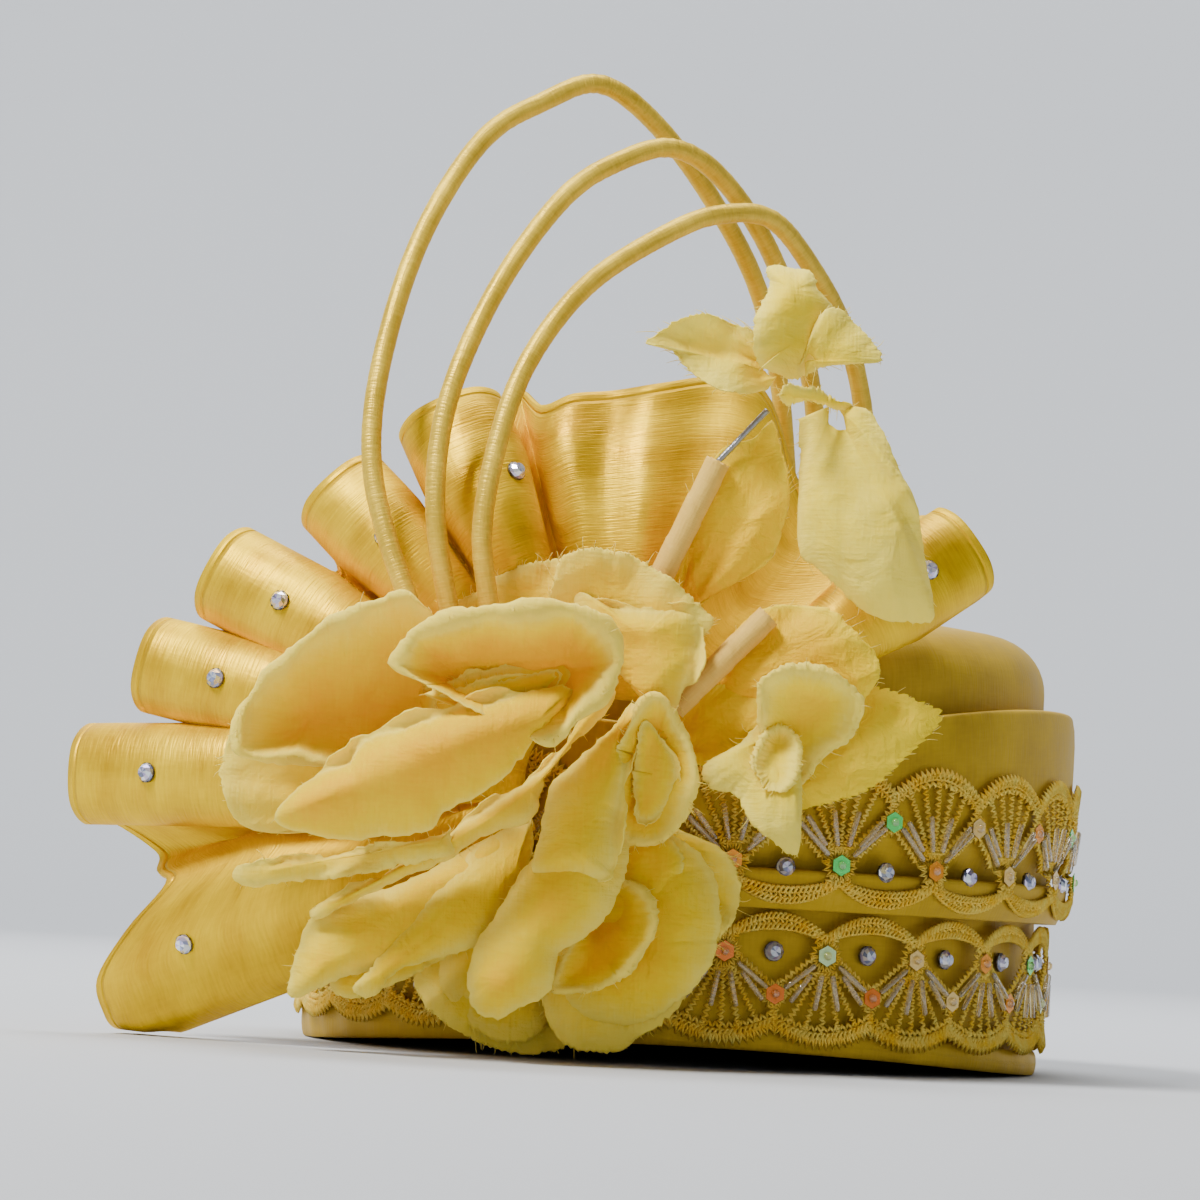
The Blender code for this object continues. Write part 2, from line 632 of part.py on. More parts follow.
def smooth_path(points, count):
    """A smooth curve through hand-chosen points, as evenly shared points along it."""
    points = np.array(points, float)
    ends = [2 * points[0] - points[1], *points, 2 * points[-1] - points[-2]]
    path = []
    spans = len(points) - 1
    for step in range(count):
        place = step / (count - 1) * spans
        span = min(int(place), spans - 1)
        t = place - span
        p0, p1, p2, p3 = (np.array(p) for p in ends[span : span + 4])
        path.append(
            0.5 * (2 * p1 + (p2 - p0) * t + (2 * p0 - 5 * p1 + 4 * p2 - p3) * t**2
                   + (3 * p1 - 3 * p2 + p3 - p0) * t**3)
        )
    return np.array(path)


def add_tube(name, path, diameter, finish):
    """A round rod along a path, as a curve with a bevel and filled caps."""
    curve = bpy.data.curves.new(name, "CURVE")
    curve.dimensions = "3D"
    curve.bevel_depth = diameter / 2 * MM
    curve.bevel_resolution = 2
    curve.use_fill_caps = True
    spline = curve.splines.new("POLY")
    spline.points.add(len(path) - 1)
    for point, place in zip(spline.points, path):
        point.co = (*(np.asarray(place) * MM), 1.0)
    curve.materials.append(finish)
    made = bpy.data.objects.new(name, curve)
    bpy.context.collection.objects.link(made)
    return made


def disc_offsets(radius):
    """Places over a rod's round section seen from the front, each with the rod's half depth there."""
    return [
        (radius * share * math.cos(turn), radius * share * math.sin(turn), radius * math.sqrt(1 - share**2))
        for share in (0.0, 0.5, 0.85, 1.0)
        for turn in np.arange(8) * math.pi / 4
    ]


def path_lack(front, path, radius):
    """How much further forward each stretch of a rod must stand to clear what is on the map."""
    starts, ends = path[:-1, None], path[1:, None]
    shares = np.linspace(0, 1, LAY_STEPS)[None, :, None]
    spots = starts * (1 - shares) + ends * shares
    need = np.full(spots.shape[:2], FAR_BEHIND)
    for dx, dz, depth in disc_offsets(radius):
        need = np.maximum(need, front.reach(spots[..., 0] + dx, spots[..., 2] + dz) + depth)
    return (need + GAP + spots[..., 1] + FRONT_PLANE).max(axis=1)


def clear_path(front, path, radius, count, seated):
    """Moves a rod's first points forward until the rod clears what is there, or also seats it on that."""
    path = path.copy()
    for _ in range(LAY_ROUNDS):
        lack = np.maximum(path_lack(front, path[:count], radius), 0)
        if lack.max() <= 0:
            break
        path[: count - 1, 1] -= lack + 1e-6
        path[1:count, 1] -= lack
    if seated:
        path[:, 1] -= path_lack(front, path[:count], radius).max()
    return path


def map_tube(front, path, radius):
    """Adds a rod to the map of what petals must clear."""
    dense = smooth_path(path, MAP_TUBE_STEPS * len(path))
    for dx, dz, depth in disc_offsets(radius):
        spots = np.stack([dense[:, 0] + dx, dense[:, 2] + dz], axis=1)
        front.add_points(spots, -dense[:, 1] - FRONT_PLANE + depth)


# Each loop's route from the flower over its top and down to the crown: shares of the loops' span to the
# right, of their rise above the crown's side, and of the crown's half depth back from the front plane
LOOP_ROUTES = {
    "loop_tall": (
        (-0.61, -0.19, -0.12), (-0.67, -0.06, -0.13), (-0.74, 0.06, -0.12), (-0.79, 0.20, -0.09),
        (-0.78, 0.37, -0.03), (-0.71, 0.59, 0.08), (-0.58, 0.78, 0.21), (-0.44, 0.86, 0.29),
        (-0.30, 0.91, 0.37), (-0.14, 0.84, 0.47), (0.01, 0.72, 0.60), (0.12, 0.60, 0.74),
        (0.19, 0.45, 0.88), (0.23, 0.26, 0.98), (0.24, 0.13, 1.00), (0.24, 0.03, 1.00),
    ),
    "loop_middle": (
        (-0.55, -0.15, -0.13), (-0.59, -0.04, -0.14), (-0.63, 0.10, -0.14), (-0.63, 0.24, -0.11),
        (-0.59, 0.37, -0.07), (-0.50, 0.53, 0.02), (-0.37, 0.68, 0.12), (-0.25, 0.75, 0.19),
        (-0.12, 0.79, 0.27), (0.01, 0.75, 0.37), (0.15, 0.63, 0.52), (0.26, 0.45, 0.72),
        (0.30, 0.27, 0.82), (0.31, 0.13, 0.84), (0.31, 0.03, 0.84),
    ),
    "loop_short": (
        (-0.46, -0.13, -0.14), (-0.50, -0.02, -0.15), (-0.52, 0.10, -0.15), (-0.48, 0.28, -0.11),
        (-0.41, 0.41, -0.05), (-0.29, 0.53, 0.03), (-0.11, 0.63, 0.14), (0.00, 0.67, 0.21),
        (0.13, 0.68, 0.31), (0.24, 0.61, 0.43), (0.33, 0.52, 0.54), (0.39, 0.40, 0.63),
        (0.42, 0.26, 0.69), (0.43, 0.12, 0.70), (0.43, 0.03, 0.70),
    ),
}
LOOP_FRONT_REACH = 0.35


def loop_path(route):
    """A loop's points in the hat's frame. Its far foot ends just above the crown."""
    points = [
        (LOOP_SPAN * right, -FRONT_PLANE + HALF_DEPTH * back, CROWN_HEIGHT + LOOP_RISE * up)
        for right, up, back in route
    ]
    path = smooth_path(points, LOOP_POINTS)
    path[-1, 2] = crown_top_height(*path[-1, :2]) + GAP
    return path


def crown_top_height(x, y):
    """The crown's outer height under a place on its dome."""
    angle = math.atan2(y / HALF_DEPTH, x / HALF_WIDTH)
    share = min(1.0, math.hypot(x / HALF_WIDTH, y / HALF_DEPTH))
    top = CROWN_HEIGHT - CROWN_FRONT_DIP * float(front_share(angle)) ** 2
    return top + (CROWN_HEIGHT + CROWN_DOME_RISE - top) * (1 - share**2)


def unit(vector):
    return vector / np.linalg.norm(vector)


# A stone's back and its table: share of its radius, share of its height, turn in facets
STONE_RINGS = ((1.0, 0.0, 0.0), (0.58, 1.0, 0.5))


def add_stone(name, seat, normal, finish):
    """A flat-backed cut stone, with a table and a ring of crown facets, set on its seat."""
    normal = unit(np.asarray(normal, float))
    side = unit(np.cross(normal, [0.0, 0.0, 1.0] if abs(normal[2]) < 0.9 else [1.0, 0.0, 0.0]))
    other = np.cross(normal, side)
    radius, points = STONE_DIAMETER / 2, []
    for share, level, twist in STONE_RINGS:
        for facet in range(STONE_FACETS):
            turn = 2 * math.pi * (facet + twist) / STONE_FACETS
            spot = radius * share * (side * math.cos(turn) + other * math.sin(turn))
            points.append(np.asarray(seat) + spot + normal * (GAP + STONE_HEIGHT * level))
    n = STONE_FACETS
    faces = [tuple(range(n))[::-1], tuple(range(n, 2 * n))]
    for k in range(n):
        after = (k + 1) % n
        faces.append((k, after, n + k))
        faces.append((after, n + after, n + k))
    return add_mesh(name, points, faces, finish)


# Stones on the ruffle: its fold, the column across that fold, how far in from the tip as a share of
# the stones' usual inset
RUFFLE_STONES = (
    ("stone_lobe", 0, 3, 1.2),
    ("stone_flute_1", 1, 3, 1.0),
    ("stone_flute_2", 2, 3, 1.0),
    ("stone_flute_3", 3, 3, 1.0),
    ("stone_flute_4", 4, 3, 1.0),
    ("stone_flute_5", 5, 4, 1.1),
    ("stone_wide_fold", 6, 5, 1.0),
    ("stone_right_flute", 7, 3, 0.7),
)
BAND_STONES_SHOWN = 4
UPPER_STONE_HEIGHT = 48.5
LOWER_STONE_HEIGHT = 28.5


def add_ruffle_stones(grid, finish):
    columns = fold_columns()
    stations = [np.linalg.norm(grid[:, j, [0, 2]] - [-RUFFLE_CENTRE_LEFT, RUFFLE_CENTRE_HEIGHT], axis=1)
                for j in range(RUFFLE_STATIONS)]
    for name, fold, step, inset in RUFFLE_STONES:
        index = fold * (FOLD_STEPS + 2) + step
        wanted = columns[index][3] - STONE_INSET * inset
        radii = [station[index] for station in stations]
        j = min(int(np.searchsorted(radii, wanted)), RUFFLE_STATIONS - 1) - 1
        t = (wanted - radii[j]) / (radii[j + 1] - radii[j])
        left, spot, right = (grid[index + k, j] * (1 - t) + grid[index + k, j + 1] * t for k in (-1, 0, 1))
        normal = unit(np.cross(grid[index, j + 1] - grid[index, j], right - left))
        normal = normal if normal[1] < 0 else -normal
        add_stone(name, spot + normal * RUFFLE_WALL / 2, normal, finish)


def add_band_stones(finish):
    for tier, height in (("upper", UPPER_STONE_HEIGHT), ("lower", LOWER_STONE_HEIGHT)):
        for number in range(BAND_STONES_SHOWN):
            angle = math.radians(LACE_PHASE_DEG) + number * 2 * math.pi / LACE_CELLS
            outward = band_outward(angle, height)
            seat = on_oval(np.float64(angle), outward, height)
            normal = [math.cos(angle) / HALF_WIDTH, math.sin(angle) / HALF_DEPTH, 0.0]
            add_stone(f"stone_{tier}_{number + 1}", seat, normal, finish)


def map_piece(front, piece):
    """Adds the front half of a finished piece to the map of what petals must clear."""
    bpy.context.view_layer.update()
    evaluated = piece.evaluated_get(bpy.context.evaluated_depsgraph_get())
    mesh = evaluated.to_mesh()
    points = np.array([tuple(vertex.co) for vertex in mesh.vertices]) / MM
    mesh.calc_loop_triangles()
    triangles = np.array([tuple(t.vertices) for t in mesh.loop_triangles])
    triangles = triangles[points[triangles][..., 1].max(axis=1) < 0]
    evaluated.to_mesh_clear()
    front.add_triangles(points[:, 0], points[:, 2], -points[:, 1] - FRONT_PLANE, triangles)


STEMS = (
    # name, lower end (u, v), upper end (u, v), forward (lower, upper)
    ("stem_upper", (0.66, 0.84), (0.89, 1.30), (0.42, 0.44)),
    ("stem_lower", (0.72, 0.36), (1.08, 0.71), (0.52, 0.54)),
)
WIRE_TOP = (1.08, 1.50)
STEM_POINTS = 5


def stem_path(low, high, reaches, count):
    (x0, z0), (x1, z1) = flower_spot(*low), flower_spot(*high)
    ends = np.array([[x0, -FRONT_PLANE - reaches[0] * FLOWER_DEPTH, z0],
                     [x1, -FRONT_PLANE - reaches[1] * FLOWER_DEPTH, z1]])
    shares = np.linspace(0, 1, count)[:, None]
    return ends[0] * (1 - shares) + ends[1] * shares


def add_stems(front, stem_finish, wire_finish):
    """The two cut stems, and the bud's wire, which comes out of the upper stem."""
    rods = []
    for name, low, high, reaches in STEMS:
        path = stem_path(low, high, reaches, STEM_POINTS)
        path = clear_path(front, path, STEM_DIAMETER / 2, STEM_POINTS, seated=True)
        rods.append((name, path, STEM_DIAMETER, stem_finish))
    mouth = rods[0][1][-1]
    x, z = flower_spot(*WIRE_TOP)
    top = np.array([x, mouth[1], z])
    start = mouth + GAP * unit(mouth - rods[0][1][0])
    wire = start + np.linspace(0, 1, STEM_POINTS)[:, None] * (top - start)
    wire = clear_path(front, wire, WIRE_DIAMETER / 2, STEM_POINTS, seated=False)
    rods.append(("wire", wire, WIRE_DIAMETER, wire_finish))
    for name, path, diameter, finish in rods:
        add_tube(name, path, diameter, finish)
        map_tube(front, path, diameter / 2)


def clear_scene():
    for existing in list(bpy.data.objects):
        bpy.data.objects.remove(existing)


def stand_on_origin():
    """Hangs every object on one empty, and moves it so that the origin is under the box's middle."""
    bpy.context.view_layer.update()
    depsgraph = bpy.context.evaluated_depsgraph_get()
    pieces = [o for o in bpy.data.objects if o.type in ("MESH", "CURVE")]
    corners = []
    for piece in pieces:
        evaluated = piece.evaluated_get(depsgraph)
        corners += [tuple(evaluated.matrix_world @ v.co) for v in evaluated.to_mesh().vertices]
        evaluated.to_mesh_clear()
    corners = np.array(corners)
    low, high = corners.min(0), corners.max(0)
    hat = bpy.data.objects.new("hat", None)
    bpy.context.collection.objects.link(hat)
    hat.location = (-(low[0] + high[0]) / 2, -(low[1] + high[1]) / 2, -low[2])
    for piece in pieces:
        piece.parent = hat
    print("hat's frame moved by, mm:", [round(v / MM, 2) for v in hat.location])


def main():
    clear_scene()
    satin = material("satin", SATIN, 0.4)
    satin_deep = material("satin_deep", SATIN_DEEP, 0.4)
    organza = material("organza", ORGANZA, 0.6)
    organza_pale = material("organza_pale", ORGANZA_PALE, 0.6)
    lace = material("lace", LACE_GOLD, 0.7)
    tan = material("stem_tan", STEM_TAN, 0.8)
    grey = material("wire", WIRE_GREY, 0.4, 1.0)
    crystal = material("crystal", CRYSTAL, 0.05)

    crown = add_crown(satin)
    add_band("hem", hem_section, satin)
    pleat = add_band("pleat", pleat_section, satin)
    brim = add_band("brim", brim_section, satin)
    upper_span = (BAND_LINE + GAP, UPPER_LACE_TOP)
    lower_span = (LOWER_LACE_BOTTOM, BAND_LINE - GAP)
    upper = add_lace("lace_upper", UPPER_LACE_COLUMNS, upper_span, upper_lace_outward, lace)
    lower = add_lace("lace_lower", LOWER_LACE_COLUMNS, lower_span, lower_lace_outward, lace)
    front = FrontMap()
    for piece in (crown, pleat, brim, upper, lower):
        map_piece(front, piece)
    grid = ruffle_grid()
    back = grid.reshape(-1, 3) + [0, RUFFLE_WALL / 2, 0]
    triangles = triangles_of(*grid.shape[:2])
    grid[..., 1] -= sheet_lack(front, back[:, 0], back[:, 2], -back[:, 1] - FRONT_PLANE, triangles).max()
    map_piece(front, add_ruffle(grid, satin_deep))
    add_ruffle_stones(grid, crystal)
    add_band_stones(crystal)
    for piece in [piece for piece in bpy.data.objects if piece.name.startswith("stone")]:
        map_piece(front, piece)

    for row in BACK_PETALS:
        add_petal(front, row, PETAL_ACROSS, PETAL_ALONG, organza)
    for name, route in LOOP_ROUTES.items():
        path = loop_path(route)
        in_front = int(np.argmax(path[:, 1] > -FRONT_PLANE + LOOP_FRONT_REACH * HALF_DEPTH))
        path = clear_path(front, path, LOOP_DIAMETER / 2, in_front, seated=False)
        add_tube(name, path, LOOP_DIAMETER, satin_deep)
        map_tube(front, path, LOOP_DIAMETER / 2)
    for row in LEAVES:
        add_petal(front, row, LEAF_ACROSS, LEAF_ALONG, organza)
    add_stems(front, tan, grey)
    for row in BUD_PETALS:
        add_petal(front, row, LEAF_ACROSS, LEAF_ALONG, organza_pale)
    for row in FRONT_PETALS:
        add_petal(front, row, PETAL_ACROSS, PETAL_ALONG, organza)
    stand_on_origin()


main()
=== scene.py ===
"""A satin occasion hat of the cloche kind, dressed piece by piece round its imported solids.

Every piece is worked out in the hat's own frame in millimetres, as it was cut and sewn: X to the right,
Y away from the viewer, Z up, zero in the middle of the head opening. add_piece moves it to its place
and turns it into metres. Ring angles run anticlockwise seen from above, and the hat's front is at -90
degrees.
"""

import math

import bmesh
import bpy
import numpy as np
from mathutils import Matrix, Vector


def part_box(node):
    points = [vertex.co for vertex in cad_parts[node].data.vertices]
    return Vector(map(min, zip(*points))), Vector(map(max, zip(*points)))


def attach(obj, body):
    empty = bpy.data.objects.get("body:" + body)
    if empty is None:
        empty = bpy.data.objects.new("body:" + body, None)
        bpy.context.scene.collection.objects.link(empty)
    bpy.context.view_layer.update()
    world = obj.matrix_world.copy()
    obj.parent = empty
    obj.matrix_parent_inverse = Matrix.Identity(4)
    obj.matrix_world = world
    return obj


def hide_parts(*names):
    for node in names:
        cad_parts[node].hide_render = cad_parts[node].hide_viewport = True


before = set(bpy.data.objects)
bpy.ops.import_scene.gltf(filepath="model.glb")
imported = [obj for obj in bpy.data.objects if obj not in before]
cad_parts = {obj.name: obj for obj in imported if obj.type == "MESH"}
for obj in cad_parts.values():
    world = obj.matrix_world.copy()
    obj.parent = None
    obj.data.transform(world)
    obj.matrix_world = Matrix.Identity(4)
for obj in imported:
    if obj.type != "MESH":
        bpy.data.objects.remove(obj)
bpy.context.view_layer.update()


# Crown. A deep oval crown blocked from stiffened satin, lined with the same satin and finished inside with
# a grosgrain head ribbon. Its closed dome is blocked in one with its side, over a rounded shoulder.
MM = 0.001
crown_low, crown_high = (np.array(corner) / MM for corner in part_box("crown"))
HAT_MIDDLE = np.array([(crown_low[0] + crown_high[0]) / 2, (crown_low[1] + crown_high[1]) / 2, 0.0])
HALF_WIDTH, HALF_DEPTH = 92.5, 102.0
CROWN_HEIGHT, CROWN_WALL, CROWN_SHOULDER = 111.0, 2.5, 14.0
DOME_RISE, FRONT_DIP, RIM_ARCH = 6.0, 6.0, 5.0
DOME_EDGE_SHARE = 0.86
RING_POINTS = 240
# the last angle is the first again, so that the cloth's own measure runs round without a jump
ring = np.linspace(0, 2 * math.pi, RING_POINTS + 1)


def front_share(angle):
    """1 at the hat's front, falling as the sine squared to 0 at its sides, and 0 all round its back."""
    return np.maximum(0.0, -np.sin(angle)) ** 2


def rim_height(angle):
    """The rim's underside: flat at the sides and back, arched at the front."""
    return RIM_ARCH * front_share(angle)


def on_oval(angle, outward, height, share=1.0):
    """A point on the crown's oval, moved outwards, or on the oval shrunk to a share of itself."""
    angle, outward, height = np.broadcast_arrays(angle, outward, height)
    return np.stack(
        [
            (HALF_WIDTH * share + outward) * np.cos(angle),
            (HALF_DEPTH * share + outward) * np.sin(angle),
            height,
        ],
        axis=-1,
    )


def quads(rows, columns, wrap_rows=False, wrap_columns=False):
    """The four corners of each cell of a grid of points that is stored row by row."""
    i = np.arange(rows if wrap_rows else rows - 1)[:, None]
    j = np.arange(columns if wrap_columns else columns - 1)[None]
    below, beside = (i + 1) % rows, (j + 1) % columns
    corners = [i * columns + j, i * columns + beside, below * columns + beside, below * columns + j]
    return np.stack([np.broadcast_to(c, (len(i), j.shape[1])) for c in corners], -1).reshape(-1, 4)


def add_piece(name, points, faces, material, slot, nodes=(), uv=None, tone=None, closed=False, crisp=None):
    """A piece from points in millimetres in the hat's frame. It rides on the hat and stands for nodes."""
    mesh = bpy.data.meshes.new(name)
    placed = (np.asarray(points, float).reshape(-1, 3) + HAT_MIDDLE) * MM
    mesh.from_pydata(placed.tolist(), [], [face for block in faces for face in np.asarray(block).tolist()])
    if tone is not None:
        mesh.attributes.new("tone", "FLOAT", "POINT").data.foreach_set("value", np.ravel(tone))
    if uv is not None:
        corner_of = np.zeros(len(mesh.loops), np.int32)
        mesh.loops.foreach_get("vertex_index", corner_of)
        layer = mesh.uv_layers.new(name="cloth")
        layer.data.foreach_set("uv", np.asarray(uv, float).reshape(-1, 2)[corner_of].ravel())
    if closed:
        work = bmesh.new()
        work.from_mesh(mesh)
        bmesh.ops.remove_doubles(work, verts=work.verts, dist=1e-6)
        bmesh.ops.recalc_face_normals(work, faces=work.faces)
        work.to_mesh(mesh)
        work.free()
    mesh.shade_smooth()
    if crisp is not None:
        mesh.set_sharp_from_angle(angle=math.radians(crisp))
    mesh.materials.append(material)
    piece = bpy.data.objects.new(name, mesh)
    bpy.context.scene.collection.objects.link(piece)
    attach(piece, "root")
    if nodes:
        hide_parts(*nodes)
    return piece


def set_sockets(node, sockets):
    """Sets each named socket of a node to a value, or joins it to another node's output."""
    for socket, value in sockets.items():
        if isinstance(value, bpy.types.NodeSocket):
            node.id_data.links.new(value, node.inputs[socket])
        else:
            node.inputs[socket].default_value = value


def add_node(tree, kind, sockets=None, **settings):
    """A shader node with its settings, and its sockets set to values or joined to other nodes."""
    made = tree.nodes.new(kind)
    for key, value in settings.items():
        setattr(made, key, value)
    set_sockets(made, sockets or {})
    return made


def mixed(tree, share, first, second):
    """The colour that lies at a share of the way from the first to the second."""
    sockets = {0: share, 6: first, 7: second}
    return add_node(tree, "ShaderNodeMix", sockets, data_type="RGBA").outputs[2]


def scaled_up(tree, value, gain, offset=0.0):
    """value times gain plus offset, kept between 0 and 1."""
    sockets = {0: value, 1: gain, 2: offset}
    return add_node(tree, "ShaderNodeMath", sockets, operation="MULTIPLY_ADD", use_clamp=True).outputs[0]


def bumped(tree, height, rise, strength=1.0, normal=None):
    """A normal tilted by a height that stands for up to rise millimetres, over another normal if given."""
    sockets = {"Strength": strength, "Distance": rise * MM, "Height": height}
    if normal is not None:
        sockets["Normal"] = normal
    return add_node(tree, "ShaderNodeBump", sockets).outputs[0]


def grain(tree, scale, **sockets):
    """Noise fixed to the piece, scale ripples to the metre."""
    place = add_node(tree, "ShaderNodeTexCoord").outputs["Object"]
    return add_node(tree, "ShaderNodeTexNoise", {"Vector": place, "Scale": scale, **sockets}).outputs[0]


def tone_of(tree):
    """The tone that each point of a piece carries."""
    return add_node(tree, "ShaderNodeAttribute", attribute_name="tone").outputs["Fac"]


def new_material(name):
    """An empty material with its tree of nodes and its shader."""
    material = bpy.data.materials.new(name)
    material.use_nodes = True
    return material, material.node_tree, material.node_tree.nodes["Principled BSDF"]


def new_group(name, inputs, outputs):
    """An empty shader node group with named sockets."""
    tree = bpy.data.node_groups.new(name, "ShaderNodeTree")
    for socket, kind in inputs.items():
        tree.interface.new_socket(socket, in_out="INPUT", socket_type=kind)
    for socket, kind in outputs.items():
        tree.interface.new_socket(socket, in_out="OUTPUT", socket_type=kind)
    return tree, tree.nodes.new("NodeGroupInput"), tree.nodes.new("NodeGroupOutput")


def weave_group():
    """Woven threads: noise stretched along the warp, crossed with noise stretched along the weft, and a
    broad noise for the uneven dye. Place is in millimetres on the cloth."""
    tree, given, made = new_group(
        "weave",
        {"Place": "NodeSocketVector", "Threads": "NodeSocketFloat", "Float": "NodeSocketFloat"},
        {"Height": "NodeSocketFloat", "Shade": "NodeSocketFloat"},
    )
    fine = add_node(tree, "ShaderNodeVectorMath", {0: given.outputs["Place"]}, operation="SCALE")
    tree.links.new(given.outputs["Threads"], fine.inputs["Scale"])
    threads = []
    for stretch in ((1.0, 0.10, 1.0), (0.16, 1.0, 1.0)):
        run = add_node(tree, "ShaderNodeMapping", {"Vector": fine.outputs[0], "Scale": stretch})
        noise = {"Vector": run.outputs[0], "Scale": 1.0, "Detail": 1.5, "Roughness": 0.6}
        threads.append(add_node(tree, "ShaderNodeTexNoise", noise).outputs[0])
    crossed = {0: given.outputs["Float"], 2: threads[1], 3: threads[0]}
    height = add_node(tree, "ShaderNodeMix", crossed, data_type="FLOAT").outputs[0]
    broad = {"Vector": given.outputs["Place"], "Scale": 0.06, "Detail": 3.0, "Roughness": 0.55}
    dye = add_node(tree, "ShaderNodeTexNoise", broad).outputs[0]
    both = add_node(tree, "ShaderNodeMath", {0: height, 1: 0.5, 2: dye}, operation="MULTIPLY_ADD")
    shade = scaled_up(tree, both.outputs[0], 2.2, -1.15)
    tree.links.new(height, made.inputs["Height"])
    tree.links.new(shade, made.inputs["Shade"])
    return tree


WEAVE = weave_group()


def woven_cloth(tree, threads, floats):
    """The weave laid on a piece by its own measure of cloth, with that measure."""
    place = add_node(tree, "ShaderNodeUVMap", uv_map="cloth").outputs[0]
    sockets = {"Place": place, "Threads": threads, "Float": floats}
    return add_node(tree, "ShaderNodeGroup", sockets, node_tree=WEAVE).outputs, place


def pale_share_of_dye_and_light(tree, shade, swing):
    """The share of the pale colour: the dye's random swing on top of the tone, which on some pieces is
    painted light.
    """
    sockets = {0: shade, 1: swing, 2: tone_of(tree)}
    return add_node(tree, "ShaderNodeMath", sockets, operation="MULTIPLY_ADD", use_clamp=True).outputs[0]


def woven(name, deep, pale, threads, floats, bump, roughness, rough_swing, **constants):
    """A cloth: its colour runs from deep to pale with the dye, the threads and the piece's tone, which on
    the crown and the folded bands is a painted highlight.
    """
    material, tree, shader = new_material(name)
    cloth, _ = woven_cloth(tree, threads, floats)
    set_sockets(shader, {
        "Base Color": mixed(tree, pale_share_of_dye_and_light(tree, cloth["Shade"], 0.6), (*deep, 1), (*pale, 1)),
        "Roughness": scaled_up(tree, cloth["Shade"], rough_swing, roughness - rough_swing / 2),
        "Normal": bumped(tree, cloth["Height"], bump),
        **{socket.replace("_", " ").title(): value for socket, value in constants.items()},
    })
    return material


satin = woven("golden_satin", (0.31, 0.18, 0.006), (0.60, 0.39, 0.025), 1.2, 0.60, 0.14, 0.46, 0.16,
              metallic=0.35, specular_tint=(1.0, 0.75, 0.15, 1))
grosgrain = woven("grosgrain", (0.74, 0.42, 0.002), (0.88, 0.58, 0.02), 2.0, 0.15, 0.2, 0.7, 0.1)


def drape(angle, height, amount):
    """Slight unevenness of hand-blocked cloth: a few sine waves round and up, each of its own length."""
    return amount * (
        0.5 * np.sin(3 * angle + 0.06 * height)
        + 0.3 * np.sin(7 * angle - 0.05 * height + 1.3)
        + 0.2 * np.sin(13 * angle + 0.11 * height + 0.4)
    )


def crown_skin(inset, amount):
    """The crown's side, its rounded shoulder and its dome, as rings of the oval from rim to tip."""
    top = CROWN_HEIGHT - FRONT_DIP * front_share(ring) ** 2
    wall_top, foot = top - CROWN_SHOULDER, rim_height(ring)
    rings = []
    for share in np.linspace(0, 1, 22):
        height = foot + (wall_top - foot) * share
        rings.append(on_oval(ring, -inset + drape(ring, height, amount), height))
    for turn in np.radians(np.linspace(9, 81, 9)):
        inwards = (CROWN_SHOULDER - inset) * math.cos(turn) - CROWN_SHOULDER
        height = wall_top + (CROWN_SHOULDER - inset) * math.sin(turn)
        rings.append(on_oval(ring, inwards + drape(ring, height, amount), height))
    for share in np.linspace(DOME_EDGE_SHARE - 0.03, 0, 18):
        rise = (CROWN_HEIGHT + DOME_RISE - top) * (1 - (share / DOME_EDGE_SHARE) ** 2)
        rings.append(on_oval(ring, 0, top + rise - inset, share))
    return np.array(rings)


def cloth_uv(grid):
    """Millimetres along the rows and the columns of a grid, measured along its middle ones."""
    across = np.linalg.norm(np.diff(grid[grid.shape[0] // 3], axis=0), axis=1)
    along = np.linalg.norm(np.diff(grid[:, 0], axis=0), axis=1)
    u, v = np.concatenate([[0], np.cumsum(across)]), np.concatenate([[0], np.cumsum(along)])
    return np.stack(np.meshgrid(u, v), -1)


outer, inner = crown_skin(0.0, 0.35), crown_skin(CROWN_WALL, 0.1)
shell = np.concatenate([outer[::-1], inner])
# painted highlight: the tone rises over the dome and the shoulder, so the crown's top is paler where the
# light from above falls on it
highlight_rows, highlight_tones = [0, 20, 30, len(shell)], [0.35, 0.4, 0.25, 0.25]
painted_top_highlight = np.repeat(np.interp(np.arange(len(shell)), highlight_rows, highlight_tones), RING_POINTS + 1)
add_piece("crown_satin", shell, [quads(*shell.shape[:2])], satin, "satin", ["crown"], cloth_uv(shell),
          painted_top_highlight, closed=True)

RIBBON_FOOT, RIBBON_HEIGHT, RIBBON_INSET, RIBBON_WALL = 2.5, 25.0, 2.9, 0.7
ribbon_back = RIBBON_INSET + RIBBON_WALL
ribbon = np.array([
    on_oval(ring, -inset, rim_height(ring) + level)
    for inset, level in ((RIBBON_INSET, RIBBON_FOOT), (RIBBON_INSET, RIBBON_HEIGHT),
                         (ribbon_back, RIBBON_HEIGHT), (ribbon_back, RIBBON_FOOT))
])
add_piece("head_ribbon", ribbon, [quads(*ribbon.shape[:2], True)], grosgrain, "satin", (),
          cloth_uv(ribbon), np.full(ribbon.shape[:2], 0.3), closed=True, crisp=40)


# Hem. The lower edge of the satin, turned up over the rim in a soft roll that is fuller on the hat's
# left, and caught by hand so that it twists a little along its length.
HEM_THICKNESS, HEM_HEIGHT, HEM_LEFT_EXTRA, GAP = 1.2, 6.0, 6.0, 0.4


def hem_rows(angle):
    """The roll's section: a flattened oval from the rim up, pulled in slanting where it is caught."""
    foot = rim_height(angle)
    height = HEM_HEIGHT + HEM_LEFT_EXTRA * np.clip(-np.cos(angle), 0, 1) ** 2
    rows = []
    for turn in np.linspace(0, 2 * math.pi, 20, endpoint=False):
        across, up = (1 + math.cos(turn)) / 2, (1 + math.sin(turn)) / 2
        catch = 0.25 * np.sin(46 * angle + 3.0 * up) * (height / HEM_HEIGHT - 0.6)
        outward = GAP + (HEM_THICKNESS + 0.5) * across + catch * across
        rows.append(on_oval(angle, outward, foot + height * up**0.9))
    return np.array(rows)


